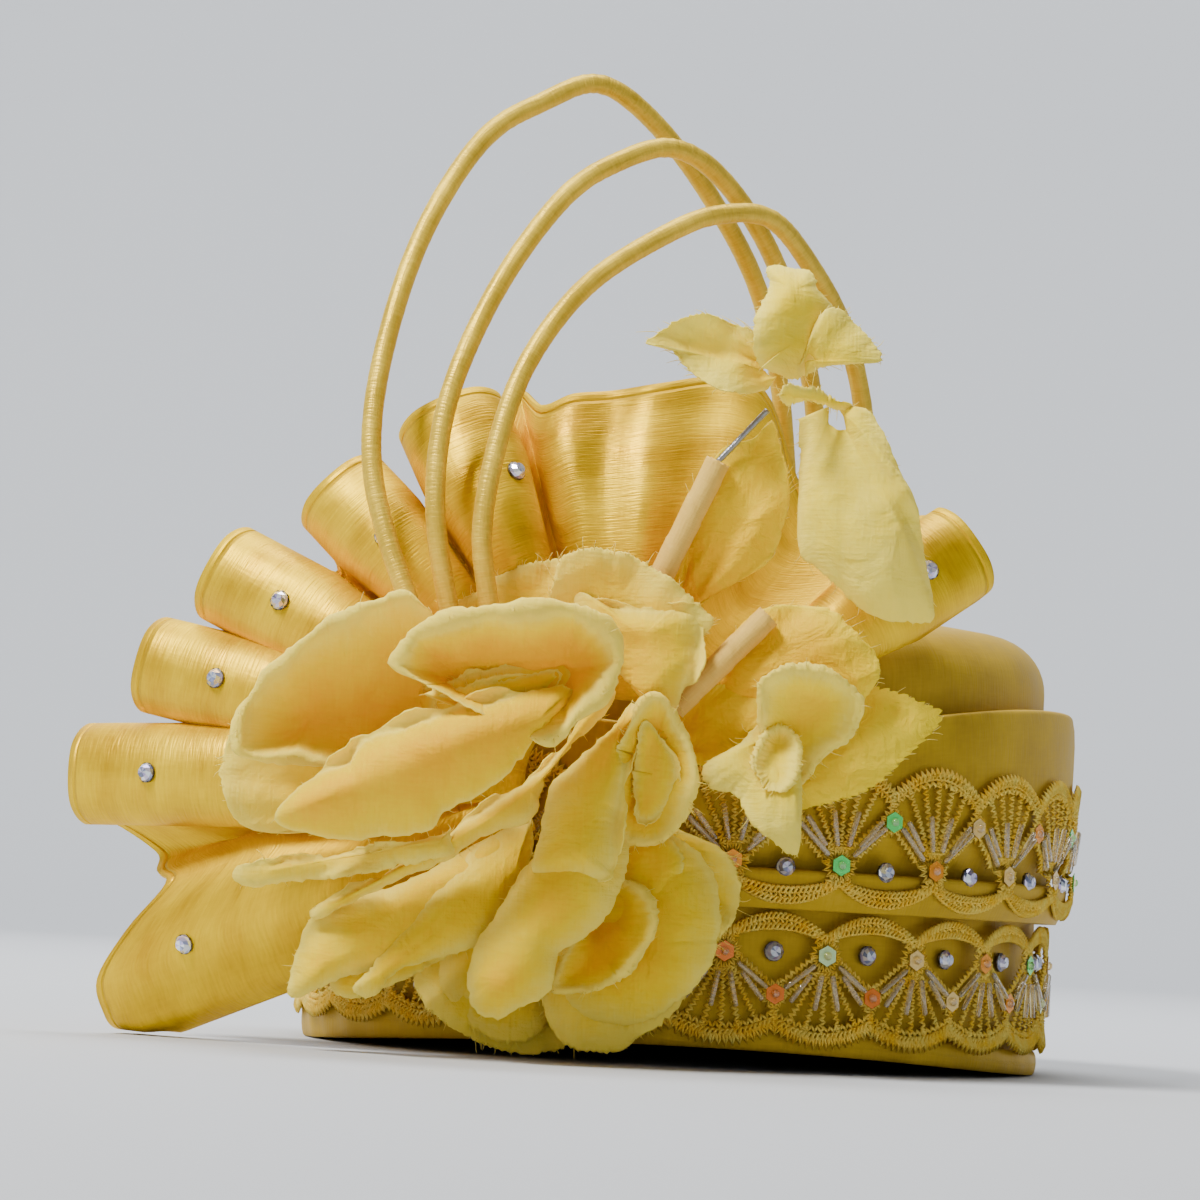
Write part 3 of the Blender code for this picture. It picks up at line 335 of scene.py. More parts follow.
hem = hem_rows(ring)
add_piece("hem_roll", hem, [quads(*hem.shape[:2], True)], satin, "satin", ["hem"], cloth_uv(hem),
          np.full(hem.shape[:2], 0.4), closed=True)


# Brim. A wide band of satin over stiff interlining, turned up all round and folded over at its top
# edge. Its foot is covered by a narrow pleat of the same satin, which shows behind the lace.
BAND_LINE, BRIM_TOP, BRIM_FRONT_DIP, BRIM_FLARE, BRIM_WALL = 38.5, 92.0, 12.0, 5.5, 2.5
PLEAT_TOP, PLEAT_FLARE, PLEAT_WALL = 48.0, 2.4, 2.2
BRIM_SHARES = (0.0, 0.04, 0.10, 0.22, 0.34, 0.45, 0.65, 0.82, 0.92, 1.0)
BRIM_FLARES = (0.04, 0.16, 0.36, 0.80, 0.92, 0.97, 1.0, 1.0, 0.95, 0.80)
PLEAT_SHARES, PLEAT_FLARES = (0, 0.28, 0.6, 0.86, 1), (0, 0.55, 0.9, 1, 0.9)


def brim_top(angle):
    """The height of the brim's folded edge, which dips at the front."""
    return BRIM_TOP - BRIM_FRONT_DIP * front_share(angle) ** 2


def brim_outward(angle, height):
    """How far the brim stands outside the crown: quickly out above the pleat, then almost upright."""
    share = (height - PLEAT_TOP) / (brim_top(angle) - PLEAT_TOP)
    return GAP + BRIM_WALL + BRIM_FLARE * np.interp(share, BRIM_SHARES, BRIM_FLARES)


def pleat_outward(height):
    """How far the pleat stands outside the crown."""
    share = np.clip((height - BAND_LINE) / (PLEAT_TOP - BAND_LINE), 0, 1)
    return 2 * GAP + BRIM_WALL + PLEAT_WALL + PLEAT_FLARE * np.interp(share, PLEAT_SHARES, PLEAT_FLARES)


def folded_band(angle, foot, top, outward_at, wall, edge, seam):
    """A band folded over its top edge: up its outer face, half round the edge, and down its inner one.
    A seam at the back draws it in along a narrow bell curve."""
    drawn = seam * np.exp(-((angle - math.pi / 2) / 0.012) ** 2)
    rows = []
    body_top = top - edge
    for share in np.linspace(0, 1, 26):
        height = foot + (body_top - foot) * share
        rows.append(on_oval(angle, outward_at(height) + drape(angle, height, 0.35) - drawn, height))
    for turn in np.radians(np.linspace(12, 168, 12)):
        outward = outward_at(body_top) - wall / 2 + wall / 2 * math.cos(turn) + drape(angle, body_top, 0.35)
        rows.append(on_oval(angle, outward - drawn, body_top + edge * math.sin(turn)))
    for share in np.linspace(1, 0, 14):
        height = foot + (body_top - foot) * share
        rows.append(on_oval(angle, outward_at(height) - wall + drape(angle, height, 0.2), height))
    return np.array(rows)


def painted_edge_highlight(rows, columns, strength):
    """Tone for a folded band: a painted highlight, paler towards its folded top edge where the light from
    above catches it.
    """
    share = np.exp(-((np.arange(rows) - rows * 0.6) / (rows * 0.12)) ** 2)
    return np.repeat(0.25 + strength * share, columns)


for name, top, outward_at, wall, edge, seam in (
    ("brim", brim_top(ring), lambda height: brim_outward(ring, height), BRIM_WALL, 1.6, 0.7),
    ("pleat", PLEAT_TOP, pleat_outward, PLEAT_WALL, 0.9, 0.4),
):
    band = folded_band(ring, BAND_LINE, top, outward_at, wall, edge, seam)
    # the tone paints a highlight along each band's folded top edge
    add_piece(f"{name}_satin", band, [quads(*band.shape[:2], True)], satin, "satin", [name], cloth_uv(band),
              painted_edge_highlight(*band.shape[:2], 0.3), closed=True)


# Lace. Two tiers of gold thread lace round the hat, the upper one sewn on the pleat and the brim and
# the lower one hanging over the hem. Chain stitch, couched zigzags and rosettes, all of one thread.
LACE_CELLS, LACE_PHASE = 24, math.radians(-76.5)
LACE_STEP = 2 * math.pi / LACE_CELLS
CELL_WIDTH = 26.0
LACE_CLEARANCE, LACE_REACH = 0.6, 3.0
UPPER_TOP, UPPER_SCALLOP, UPPER_VERTEX, UPPER_HUB, UPPER_SWAG = 73.0, 67.0, 60.5, 49.5, 40.6
LOWER_FRINGE, LOWER_SCALLOP, LOWER_VERTEX, LOWER_HUB, LOWER_SWAG = 8.0, 11.5, 18.5, 28.0, 37.0
THREAD_SIDES = 3


def upper_outward(angle, height):
    """The upper tier lies over the pleat and then the brim, bridging the step between them."""
    found = pleat_outward(np.clip(height, BAND_LINE, PLEAT_TOP))
    found = np.where(height > PLEAT_TOP + LACE_REACH, 0, found)
    for probe in (-LACE_REACH, 0, LACE_REACH):
        found = np.maximum(found, brim_outward(angle, np.maximum(height + probe, PLEAT_TOP)))
    return found + LACE_CLEARANCE


def lower_outward(angle, height):
    """The lower tier hangs straight, a little outside the hem."""
    return GAP + HEM_THICKNESS + LACE_CLEARANCE + 0.5 + 0 * height


def on_lace(outward_at, flat, lift):
    """Lays flat paths of one cell on the hat in every cell: along over the cell's width gives the turn
    round the oval, and up is the height. Returns cells, points, 3."""
    cells = np.arange(LACE_CELLS)[:, None]
    angle = LACE_PHASE + LACE_STEP * (cells + flat[None, :, 0] / CELL_WIDTH)
    height = np.broadcast_to(flat[None, :, 1], angle.shape)
    return on_oval(angle, outward_at(angle, height) + lift, height)


def away(paths):
    """The direction straight out of the hat's oval at each point of some paths."""
    flat = paths[..., :2] / np.array([HALF_WIDTH, HALF_DEPTH]) ** 2
    flat = flat / np.linalg.norm(flat, axis=-1, keepdims=True)
    return np.concatenate([flat, np.zeros_like(flat[..., :1])], -1)


def tubes(paths, radius, sides, normals=None):
    """Round threads along paths: at each point a ring of the radius, turned in the plane of the normal
    and the direction square to it and to the path. Returns points and faces with both ends capped."""
    count, along = paths.shape[:2]
    tangent = np.gradient(paths, axis=1)
    tangent /= np.linalg.norm(tangent, axis=-1, keepdims=True) + 1e-9
    normal = away(paths) if normals is None else normals
    normal = normal - (normal * tangent).sum(-1, keepdims=True) * tangent
    normal /= np.linalg.norm(normal, axis=-1, keepdims=True) + 1e-9
    side = np.cross(tangent, normal)
    radius = np.broadcast_to(radius, (along,))[None, :, None, None]
    turn = (np.arange(sides) * 2 * math.pi / sides)[None, None, :, None]
    spokes = np.cos(turn) * normal[:, :, None] + np.sin(turn) * side[:, :, None]
    rings = paths[:, :, None] + radius * spokes
    one = quads(along, sides, wrap_columns=True)
    starts = (np.arange(count) * along * sides)[:, None, None]
    faces = (one[None] + starts).reshape(-1, 4)
    first = starts[:, 0] + np.arange(sides)[::-1]
    last = starts[:, 0] + (along - 1) * sides + np.arange(sides)
    return rings.reshape(-1, 3), [faces, first, last]


def joined(parts):
    """Several sets of points and faces as one."""
    points, faces, start = [], [], 0
    for some, blocks in parts:
        points.append(some)
        faces += [block + start for block in blocks]
        start += len(some)
    return np.concatenate(points), faces


def resampled(path, spacing):
    """A flat path with its points an even distance apart."""
    lengths = np.concatenate([[0], np.cumsum(np.linalg.norm(np.diff(path, axis=0), axis=1))])
    places = np.linspace(0, lengths[-1], max(3, int(lengths[-1] / spacing) + 1))
    return np.stack([np.interp(places, lengths, path[:, k]) for k in (0, 1)], -1), places


def arc_between(start, end, sag, points=40):
    """A flat arc from one place to another with its middle moved up by sag: a parabola."""
    share = np.linspace(0, 1, points)[:, None]
    return np.array(start) * (1 - share) + np.array(end) * share + [[0, 1]] * (4 * sag * share * (1 - share))


def zigzag(path, swing, pitch, per_wave=4, phase=0.0):
    """A thread couched to and fro across a flat path, as a sine of the length along it."""
    path = np.asarray(path, float)
    length = np.linalg.norm(np.diff(path, axis=0), axis=1).sum()
    waves = max(1, round(length / pitch))
    pitch = length / waves
    even, places = resampled(path, length / (waves * per_wave) * 0.9999)
    direction = np.gradient(even, axis=0)
    direction /= np.linalg.norm(direction, axis=1, keepdims=True)
    across = np.stack([-direction[:, 1], direction[:, 0]], -1)
    return even + across * (swing * np.sin(2 * math.pi * places / pitch + phase))[:, None]


def chain_stitch(outward_at, path, thread=0.5, swing=0.8, pitch=2.4):
    """Two threads that cross to and fro over each other along a path, half a turn apart."""
    parts = []
    for phase in (0.0, math.pi):
        flat = zigzag(path, swing, pitch, 6, phase)
        lift = 0.65 + 0.3 * np.cos(np.arange(len(flat)) * math.pi / 3 + phase)
        parts.append(tubes(on_lace(outward_at, flat, lift), thread, THREAD_SIDES))
    return parts


def couched(outward_at, path, swing, pitch, thread=0.42, lift=0.6):
    """One thread sewn to and fro along a path, standing up in a low loop at each turn."""
    flat = zigzag(path, swing, pitch)
    loops = lift + 0.35 * np.cos(np.arange(len(flat)) * math.pi)
    return [tubes(on_lace(outward_at, flat, loops), thread, THREAD_SIDES)]


def rosette(outward_at, middle, radius, swing, loops):
    """A ring of small loops round a bead."""
    turn = np.linspace(0, 2 * math.pi, 60)
    path = np.array(middle) + radius * np.stack([np.cos(turn), np.sin(turn)], -1)
    return couched(outward_at, path, swing, 2 * math.pi * radius / loops, 0.30, 0.8)


def lace_tier(outward_at, hub, vertex, scallop, top, swag, up):
    """One tier. up is 1 where the fan of each hub opens upwards and -1 where it opens downwards. Sizes
    are in millimetres along the cell and up it."""
    half = CELL_WIDTH / 2
    threads = []
    # the swag: two rows of chain stitch with a zigzag between them
    ends = (-half, hub - 4.0 * up), (half, hub - 4.0 * up)
    depth = abs(swag - hub) - 4.0
    for inner in (0.0, 2.5):
        threads += chain_stitch(outward_at, arc_between(*ends, -(depth - inner) * up))
    threads += couched(outward_at, arc_between(*ends, -(depth - 1.2) * up), 0.8, 2.2)
    # the scalloped edge: a fringe of loops, a chain and a finer zigzag inside it
    edge = arc_between((0.0, scallop), (CELL_WIDTH, scallop), top - scallop)
    threads += chain_stitch(outward_at, edge + [0.0, -0.9 * up])
    threads += couched(outward_at, edge, 1.25, 1.5, 0.42, 0.9)
    threads += couched(outward_at, edge + [0.0, -2.6 * up], 0.8, 1.7)
    # on both sides of the hub: two legs up to the vertex, a rise from it to the edge, and a short drop
    for side in (-1, 1):
        near, far = (half + side * 2.4, hub + 1.8 * up), (half + side * (half - 1.6), vertex - 1.0 * up)
        leg = np.array([near, far])
        threads += couched(outward_at, leg + [0.0, 2.1 * up], 0.75, 1.6)
        threads += couched(outward_at, leg + [0.0, -1.8 * up], 0.75, 1.6)
        foot, head = vertex + 1.6 * up, scallop - 0.6 * up
        rise = np.array([(half + side * (half - 0.8), foot), (half + side * (half - 0.2), head)])
        threads += couched(outward_at, rise, 1.0, 1.5)
        drop = np.array([(half + side * 1.3, hub - 2.0 * up), (half + side * 3.6, hub - 5.5 * up)])
        threads += couched(outward_at, drop, 0.9, 1.6)
    # five ribs of the fan
    for spread in (-0.66, -0.33, 0.0, 0.33, 0.66):
        tip = (half + spread * half * 1.05, top - (1.8 + 5.0 * spread**2) * up)
        threads += couched(outward_at, np.array([(half + spread * 2.5, hub + 3.6 * up), tip]), 0.78, 1.45)
    threads += rosette(outward_at, (half, hub), 3.3, 1.15, 16)
    threads += rosette(outward_at, (0.0, vertex), 2.6, 0.95, 13)
    return threads


def thread_material():
    """Gold machine thread: twisted fibres as a fine wave on the object, uneven dye, soft shine."""
    material, tree, shader = new_material("lace_thread")
    place = add_node(tree, "ShaderNodeTexCoord").outputs["Object"]
    dye = grain(tree, 260.0, Detail=3.0)
    twist = {"Vector": place, "Scale": 900.0, "Distortion": 3.0, "Detail": 1.0}
    fibre = add_node(tree, "ShaderNodeTexWave", twist).outputs[1]
    share = scaled_up(tree, dye, 2.4, -0.7)
    set_sockets(shader, {
        "Base Color": mixed(tree, share, (0.96, 0.57, 0.02, 1), (1.0, 0.80, 0.16, 1)),
        "Normal": bumped(tree, fibre, 0.08, 0.6),
        "Roughness": scaled_up(tree, dye, 0.3, 0.4),
        "Specular IOR Level": 0.25,
        "Specular Tint": (1.0, 0.85, 0.35, 1),
    })
    return material


thread = thread_material()
upper_threads = lace_tier(upper_outward, UPPER_HUB, UPPER_VERTEX, UPPER_SCALLOP, UPPER_TOP, UPPER_SWAG, 1)
lower_levels = LOWER_HUB, LOWER_VERTEX, LOWER_SCALLOP, LOWER_FRINGE, LOWER_SWAG
lower_threads = lace_tier(lower_outward, *lower_levels, -1)
fringe_level = LOWER_SCALLOP - 0.6
fringe = arc_between((0.0, fringe_level), (CELL_WIDTH, fringe_level), LOWER_FRINGE - LOWER_SCALLOP)
lower_threads += couched(lower_outward, fringe, 1.5, 1.7, 0.46, 1.0)
add_piece("lace_upper_thread", *joined(upper_threads), thread, "lace", ["lace_upper"])
add_piece("lace_lower_thread", *joined(lower_threads), thread, "lace", ["lace_lower"])


# Beads. Clear bugle beads fan out of every hub and run between hubs, with a seed bead over a sequin at
# the hubs and at the points between them. Each is threaded on and stands proud of the lace.
BUGLE_RADIUS, SEED_RADIUS, SEQUIN_RADIUS = 0.68, 1.05, 2.5


def bugle_row(outward_at, start, end):
    """A straight bead along a flat line, with its ends drawn in a little."""
    share = np.array([0.0, 0.04, 0.96, 1.0])[:, None]
    flat = np.array(start) * (1 - share) + np.array(end) * share
    return tubes(on_lace(outward_at, flat, 1.7), BUGLE_RADIUS * np.array([0.7, 1, 1, 0.7]), 7)


def spun(outward_at, middle, profile, sides):
    """A form spun round the way out of the hat: rings of (radius, lift) at a flat place."""
    radii, lifts = np.array(profile).T
    flat = np.repeat(np.array([middle]), len(profile), axis=0)
    paths = on_lace(outward_at, flat, lifts)
    upright = np.broadcast_to([0.0, 0.0, 1.0], paths.shape)
    return tubes(paths, radii, sides, upright)


bugles, seeds, sequins = [], [], []
half_cell = CELL_WIDTH / 2
for outward_at, hub, vertex, top, up in (
    (upper_outward, UPPER_HUB, UPPER_VERTEX, UPPER_TOP, 1),
    (lower_outward, LOWER_HUB, LOWER_VERTEX, LOWER_FRINGE, -1),
):
    for spread in (-0.46, -0.14, 0.17, 0.49):
        foot = (half_cell + spread * 9.0, hub + 4.6 * up)
        tip = (half_cell + spread * 20.0, hub + (13.2 - 9.0 * spread**2) * up)
        bugles.append(bugle_row(outward_at, foot, tip))
    for side in (-1, 1):
        foot = (half_cell + side * 3.2, hub + 2.4 * up)
        bugles.append(bugle_row(outward_at, foot, (half_cell + side * (half_cell - 2.2), vertex - 1.4 * up)))
    sequin = ((0.7, 0.95), (1.5, 1.0), (SEQUIN_RADIUS, 1.5), (SEQUIN_RADIUS, 1.6), (1.5, 1.15), (0.7, 1.1))
    bead = ((0.5, 1.1), (SEED_RADIUS, 1.5), (SEED_RADIUS, 2.1), (0.5, 2.6))
    for middle in ((half_cell, hub), (0.0, vertex)):
        seeds.append(spun(outward_at, middle, bead, 10))
        sequins.append(spun(outward_at, middle, sequin, 6))
SEQUIN_POINTS = 6 * len(sequin)


def glass_material():
    """Clear moulded glass with a faint champagne lustre that drifts along the beads."""
    material, tree, shader = new_material("bead_glass")
    drift = scaled_up(tree, grain(tree, 130.0), 2.5, -0.8)
    set_sockets(shader, {
        "Base Color": mixed(tree, drift, (1.0, 0.84, 0.42, 1), (1.0, 0.93, 0.72, 1)),
        "Roughness": 0.06,
        "Transmission Weight": 0.85,
        "Coat Weight": 1.0,
    })
    return material


def ramp_of_tone(tree, stops):
    """A ramp of colours along the tone. stops are (position, colour) from 0 up."""
    ramp = add_node(tree, "ShaderNodeValToRGB", {0: tone_of(tree)})
    for position, colour in stops:
        stop = ramp.color_ramp.elements.new(position) if position else ramp.color_ramp.elements[0]
        stop.color = colour
    return ramp


def sequin_material():
    """Iridescent foil: its colour runs through green, amber, rust and champagne from place to place."""
    material, tree, shader = new_material("sequin_foil")
    ramp = ramp_of_tone(tree, (
        (0.0, (0.88, 0.62, 0.20, 1)), (0.26, (0.12, 0.95, 0.20, 1)), (0.42, (0.74, 0.17, 0.0, 1)),
        (0.68, (0.62, 0.86, 0.42, 1)), (0.82, (0.90, 0.32, 0.0, 1)),
    ))
    ramp.color_ramp.interpolation = "CONSTANT"
    ramp.color_ramp.elements.remove(ramp.color_ramp.elements[-1])
    set_sockets(shader, {
        "Base Color": ramp.outputs[0],
        "Roughness": scaled_up(tree, grain(tree, 700.0), 0.3, 0.08),
        "Metallic": 0.4,
        "Coat Weight": 0.3,
    })
    return material


glass, foil = glass_material(), sequin_material()
luck = np.random.default_rng(12)
foil_of = luck.random((len(sequins), LACE_CELLS))
CHAMPAGNE, GREEN, RUST, PALE_GREEN = 0.1, 0.3, 0.5, 0.75
# beside the flower the foils are known: (line of sequins from the top hubs down, cell, foil)
for line, cell, foil_tone in ((0, 0, GREEN), (1, 1, GREEN), (1, 2, CHAMPAGNE), (2, 23, RUST),
                              (2, 0, PALE_GREEN), (2, 1, CHAMPAGNE), (3, 0, RUST), (3, 1, RUST)):
    foil_of[line, cell] = foil_tone
add_piece("bugle_beads", *joined(bugles), glass, "crystal", crisp=50)
add_piece("seed_beads", *joined(seeds), glass, "crystal", crisp=60)
add_piece("sequins", *joined(sequins), foil, "crystal", tone=np.repeat(foil_of.ravel(), SEQUIN_POINTS),
          crisp=20)


# Ruffle. A fan of double satin, stiffened, fluted into rolled folds and sewn flat at its root behind
# the flower. Its cut edge is bagged out and stitched down two and a half millimetres in.
FRONT_PLANE = HALF_DEPTH + GAP + BRIM_WALL + BRIM_FLARE + LACE_CLEARANCE + 1.0 + GAP
RUFFLE_RADIUS, RUFFLE_ROOT, RUFFLE_WALL, RUFFLE_LEAN = 130.0, 20.0, 1.5, 42.0
RUFFLE_LEFT, RUFFLE_HEIGHT, RUFFLE_FLOOR = 19.0, 65.5, 1.6
# Folds from low left over the top to the right: angle in degrees, then as shares of the ruffle's radius
# the tip's radius, the roll's radius, degrees that the roll closes each side, and the valley's radius
RUFFLE_FOLDS = (
    (203.5, 1.01, 0.150, 75.0, 0.85),
    (181.5, 1.00, 0.092, 118.0, 0.76),
    (168.0, 0.90, 0.088, 118.0, 0.70),
    (154.0, 0.84, 0.092, 118.0, 0.64),
    (135.5, 0.76, 0.092, 118.0, 0.61),
    (116.5, 0.77, 0.100, 112.0, 0.76),
    (86.0, 0.78, 0.240, 60.0, 0.64),
    (37.0, 0.81, 0.092, 100.0, 0.64),
)
VALLEY_DEPTH_SHARE, FOLD_STEPS, FOLD_OVERLAP = 0.055, 6, 0.9
RUFFLE_ROWS, RUFFLE_FINE = 64, 6
# The wide fold at the top is pressed nearly flat, with two soft dents: mm back for each of its steps
WIDE_FOLD, WIDE_FLATNESS = 6, 0.55
WIDE_DENTS = (0.0, 0.0, 2.6, -0.6, 3.0, 0.4, 0.0)
# How many mm each step of a fold is cut back at its edge, from the fold's lower or left side on
EDGE_TRIMS = {
    0: (-4.0, -4.0, -2.0, 0.0, 11.0, 22.0, 17.0),
    WIDE_FOLD: (8.0, 8.0, 7.5, 5.0, 1.0, -1.0, 0.0),
}


def fold_columns():
    """Each column across the ruffle: its fold's angle, its offsets sideways and forward round the
    fold's roll, and its tip's radius, with one column along each valley."""
    columns = []
    valley_depth = -RUFFLE_RADIUS * VALLEY_DEPTH_SHARE
    for index, (angle, radius, half_width, closing, valley) in enumerate(RUFFLE_FOLDS):
        roll, tip = half_width * RUFFLE_RADIUS, radius * RUFFLE_RADIUS
        crest = roll * (1 - math.cos(math.radians(closing))) + valley_depth * 0.35
        for step in range(FOLD_STEPS + 1):
            turn = math.radians(closing) * (2 * step / FOLD_STEPS - 1)
            forward = crest - roll * (1 - math.cos(turn))
            back_set = roll * 0.42 * (1 - math.cos(turn)) ** 1.4
            if index == WIDE_FOLD:
                forward = forward * WIDE_FLATNESS - WIDE_DENTS[step]
            back_set += EDGE_TRIMS.get(index, (0.0,) * (FOLD_STEPS + 1))[step]
            columns.append((angle, roll * math.sin(turn), forward, tip - back_set))
        if index + 1 < len(RUFFLE_FOLDS):
            after, after_radius, after_half, *_ = RUFFLE_FOLDS[index + 1]
            side = angle - math.degrees(half_width / radius) * FOLD_OVERLAP
            after_side = after + math.degrees(after_half / after_radius) * FOLD_OVERLAP
            columns.append(((side + after_side) / 2, 0.0, valley_depth, valley * RUFFLE_RADIUS))
    return np.array(columns)


def ruffle_cloth(shares):
    """The ruffle's cloth at shares of the way from root to tip, a row for each share: polar about the
    root, plus the roll's offsets, which open out from the root, plus the lean back."""
    angle, sideways, forward, tip = fold_columns().T[:, None]
    radius = RUFFLE_ROOT + (tip - RUFFLE_ROOT) * np.asarray(shares)[:, None]
    turn = np.radians(angle)
    opening = np.minimum(1.0, radius / RUFFLE_RADIUS / 0.62) ** 1.15
    rise = np.clip((radius - RUFFLE_ROOT) / (0.45 * RUFFLE_RADIUS), 0, 1)
    rise = rise * rise * (3 - 2 * rise)
    x = -RUFFLE_LEFT + radius * np.cos(turn) + sideways * opening * np.sin(turn)
    z = RUFFLE_HEIGHT + radius * np.sin(turn) - sideways * opening * np.cos(turn)
    beyond = np.maximum(0.0, radius - 1.5 * RUFFLE_ROOT) / (RUFFLE_RADIUS - 1.5 * RUFFLE_ROOT)
    y = -FRONT_PLANE - RUFFLE_WALL / 2 - forward * rise + RUFFLE_LEAN * beyond**2
    return np.stack([x, y, np.maximum(z, RUFFLE_FLOOR)], -1)


def through(points, count):
    """A smooth curve through points along the first axis: between two of them the cubic that leaves and
    arrives along the line that joins its neighbours."""
    points = np.asarray(points, float)
    ends = np.concatenate([[2 * points[0] - points[1]], points, [2 * points[-1] - points[-2]]])
    place = np.linspace(0, len(points) - 1, count)
    span = np.minimum(place.astype(int), len(points) - 2)
    t = (place - span).reshape(-1, *[1] * (points.ndim - 1))
    a, b, c, d = (ends[span + step] for step in range(4))
    return 0.5 * (2 * b + (c - a) * t + (2 * a - 5 * b + 4 * c - d) * t**2 + (3 * b - 3 * c + d - a) * t**3)


ruffle_shares = np.linspace(0, 1, RUFFLE_ROWS) ** 0.9
coarse = ruffle_cloth(ruffle_shares)
ruffle = through(coarse.swapaxes(0, 1), (coarse.shape[1] - 1) * RUFFLE_FINE + 1).swapaxes(0, 1)
# the solid has six rows of the same cloth: its foremost point is brought to the front of the solid's box
foremost = ruffle_cloth(np.linspace(0, 1, 6) ** 0.9)[..., 1].min() - RUFFLE_WALL / 2
ruffle[..., 1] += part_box("ruffle")[0][1] / MM - HAT_MIDDLE[1] - foremost
across_share = np.linspace(0, 1, ruffle.shape[1])[None]
down_share = ruffle_shares[:, None]
pucker = np.sin(140 * across_share) * np.exp(-down_share * 5)
pucker = pucker + 0.5 * np.sin(61 * across_share + 9 * down_share)
pucker = pucker + 0.7 * np.sin(37 * across_share + 5 * np.sin(6 * down_share) + 14 * down_share) * down_share
ruffle[..., 1] += 0.45 * pucker * np.minimum(1, 4 * down_share)


def satin_with_stitching():
    """The same satin, with a line of stitches sunk in it beside the finished edge and painted darker there,
    as the shade in the groove. The tone attribute holds the distance to that edge in centimetres."""
    material, tree, shader = new_material("ruffle_satin")
    cloth, _ = woven_cloth(tree, 1.3, 0.25)
    inset = tone_of(tree)
    sunk = add_node(tree, "ShaderNodeMapRange", {0: inset, 1: 0.18, 2: 0.25, 3: 0.0, 4: 1.0}).outputs[0]
    risen = add_node(tree, "ShaderNodeMapRange", {0: inset, 1: 0.25, 2: 0.32, 3: 1.0, 4: 0.0}).outputs[0]
    groove = add_node(tree, "ShaderNodeMath", {0: sunk, 1: risen}, operation="MULTIPLY").outputs[0]
    share = scaled_up(tree, cloth["Shade"], 0.9, 0.05)
    gold = mixed(tree, share, (0.64, 0.35, 0.0, 1), (0.97, 0.67, 0.0, 1))
    set_sockets(shader, {
        # painted shade: the sunk stitch line is darkened toward a deeper gold
        "Base Color": mixed(tree, scaled_up(tree, groove, 0.45), gold, (0.66, 0.37, 0.004, 1)),
        "Roughness": scaled_up(tree, cloth["Shade"], 0.2, 0.35),
        "Normal": bumped(tree, groove, -0.5, normal=bumped(tree, cloth["Height"], 0.26)),
        "Metallic": 0.5,
        "Specular Tint": (1.0, 0.72, 0.10, 1),
    })
    return material


def thicken(piece, wall):
    """Gives a cloth its thickness, half to each side."""
    solid = piece.modifiers.new("cloth wall", "SOLIDIFY")
    solid.thickness = wall * MM
    solid.offset = 0.0
    solid.use_even_offset = False


row_run = np.linalg.norm(np.diff(ruffle, axis=0), axis=-1)
to_edge = np.concatenate([np.cumsum(row_run[::-1], axis=0)[::-1], np.zeros((1, ruffle.shape[1]))])
ruffle_piece = add_piece("ruffle_satin", ruffle, [quads(*ruffle.shape[:2])], satin_with_stitching(),
                         "satin_deep", ["ruffle"], cloth_uv(ruffle), to_edge / 10)
thicken(ruffle_piece, 1.1)


# Stones. Round flat-backed cut stones, each glued in a shallow dark cup: one in every window of the
# lace, and one on every fold of the ruffle. Each facet is painted with its own reflection, from near black
# through blue and white to violet.
STONE_RADIUS, STONE_HEIGHT = 2.3, 2.0
STONE_PROFILE = ((1.0, 0.0), (1.0, 0.30), (0.86, 0.55), (0.56, 1.0), (0.0, 1.0))
CUP_PROFILE = ((0.80, -0.10), (1.04, -0.10), (1.08, 0.24), (1.02, 0.28), (1.0, 0.1))
UPPER_STONE_HEIGHT, LOWER_STONE_HEIGHT = 48.5, 28.5
STONE_SIDES, UPPER_STONE_INSET, RUFFLE_STONE_LIFT = 10, 0.9, 0.6


def turned(seats, normals, profile, radius, height, sides, twist):
    """Rings of a profile round each seat's normal, every ring turned by half a side more than the last."""
    normals = normals / np.linalg.norm(normals, axis=-1, keepdims=True)
    side = np.cross(normals, [0.0, 0.0, 1.0])
    side /= np.linalg.norm(side, axis=-1, keepdims=True)
    other = np.cross(normals, side)
    rows = []
    for row, (share, level) in enumerate(profile):
        turn = (np.arange(sides) + twist * row / 2) * 2 * math.pi / sides
        spokes = np.cos(turn)[None, :, None] * side[:, None] + np.sin(turn)[None, :, None] * other[:, None]
        rows.append(seats[:, None] + radius * share * spokes + height * level * normals[:, None])
    points = np.stack(rows, 1)
    one = quads(len(profile), sides, wrap_columns=True)
    faces = one[None] + (np.arange(len(seats)) * len(profile) * sides)[:, None, None]
    return points.reshape(-1, 3), faces.reshape(-1, 4)


def crystal_material():
    """Foil-backed cut glass: each facet is painted with its own reflection, from near black through blue and
    white to violet.
    """
    material, tree, shader = new_material("stone_crystal")
    ramp = ramp_of_tone(tree, (
        (0.0, (0.20, 0.22, 0.26, 1)), (0.22, (0.40, 0.46, 0.80, 1)), (0.4, (0.75, 0.86, 0.95, 1)),
        (0.62, (0.97, 0.98, 1.0, 1)),
    ))
    ramp.color_ramp.elements[-1].color = (0.48, 0.38, 0.80, 1)
    set_sockets(shader, {
        "Base Color": ramp.outputs[0],
        "Roughness": 0.04,
        "Metallic": 0.55,
        "Coat Weight": 1.0,
    })
    return material


def cup_material():
    """Dark plated metal, a little rubbed."""
    material, tree, shader = new_material("stone_cup")
    rub = grain(tree, 900.0)
    worn = scaled_up(tree, rub, 2.0, -0.7)
    set_sockets(shader, {
        "Base Color": mixed(tree, worn, (0.05, 0.045, 0.04, 1), (0.30, 0.26, 0.20, 1)),
        "Roughness": scaled_up(tree, rub, 0.4, 0.15),
        "Metallic": 0.9,
    })
    return material


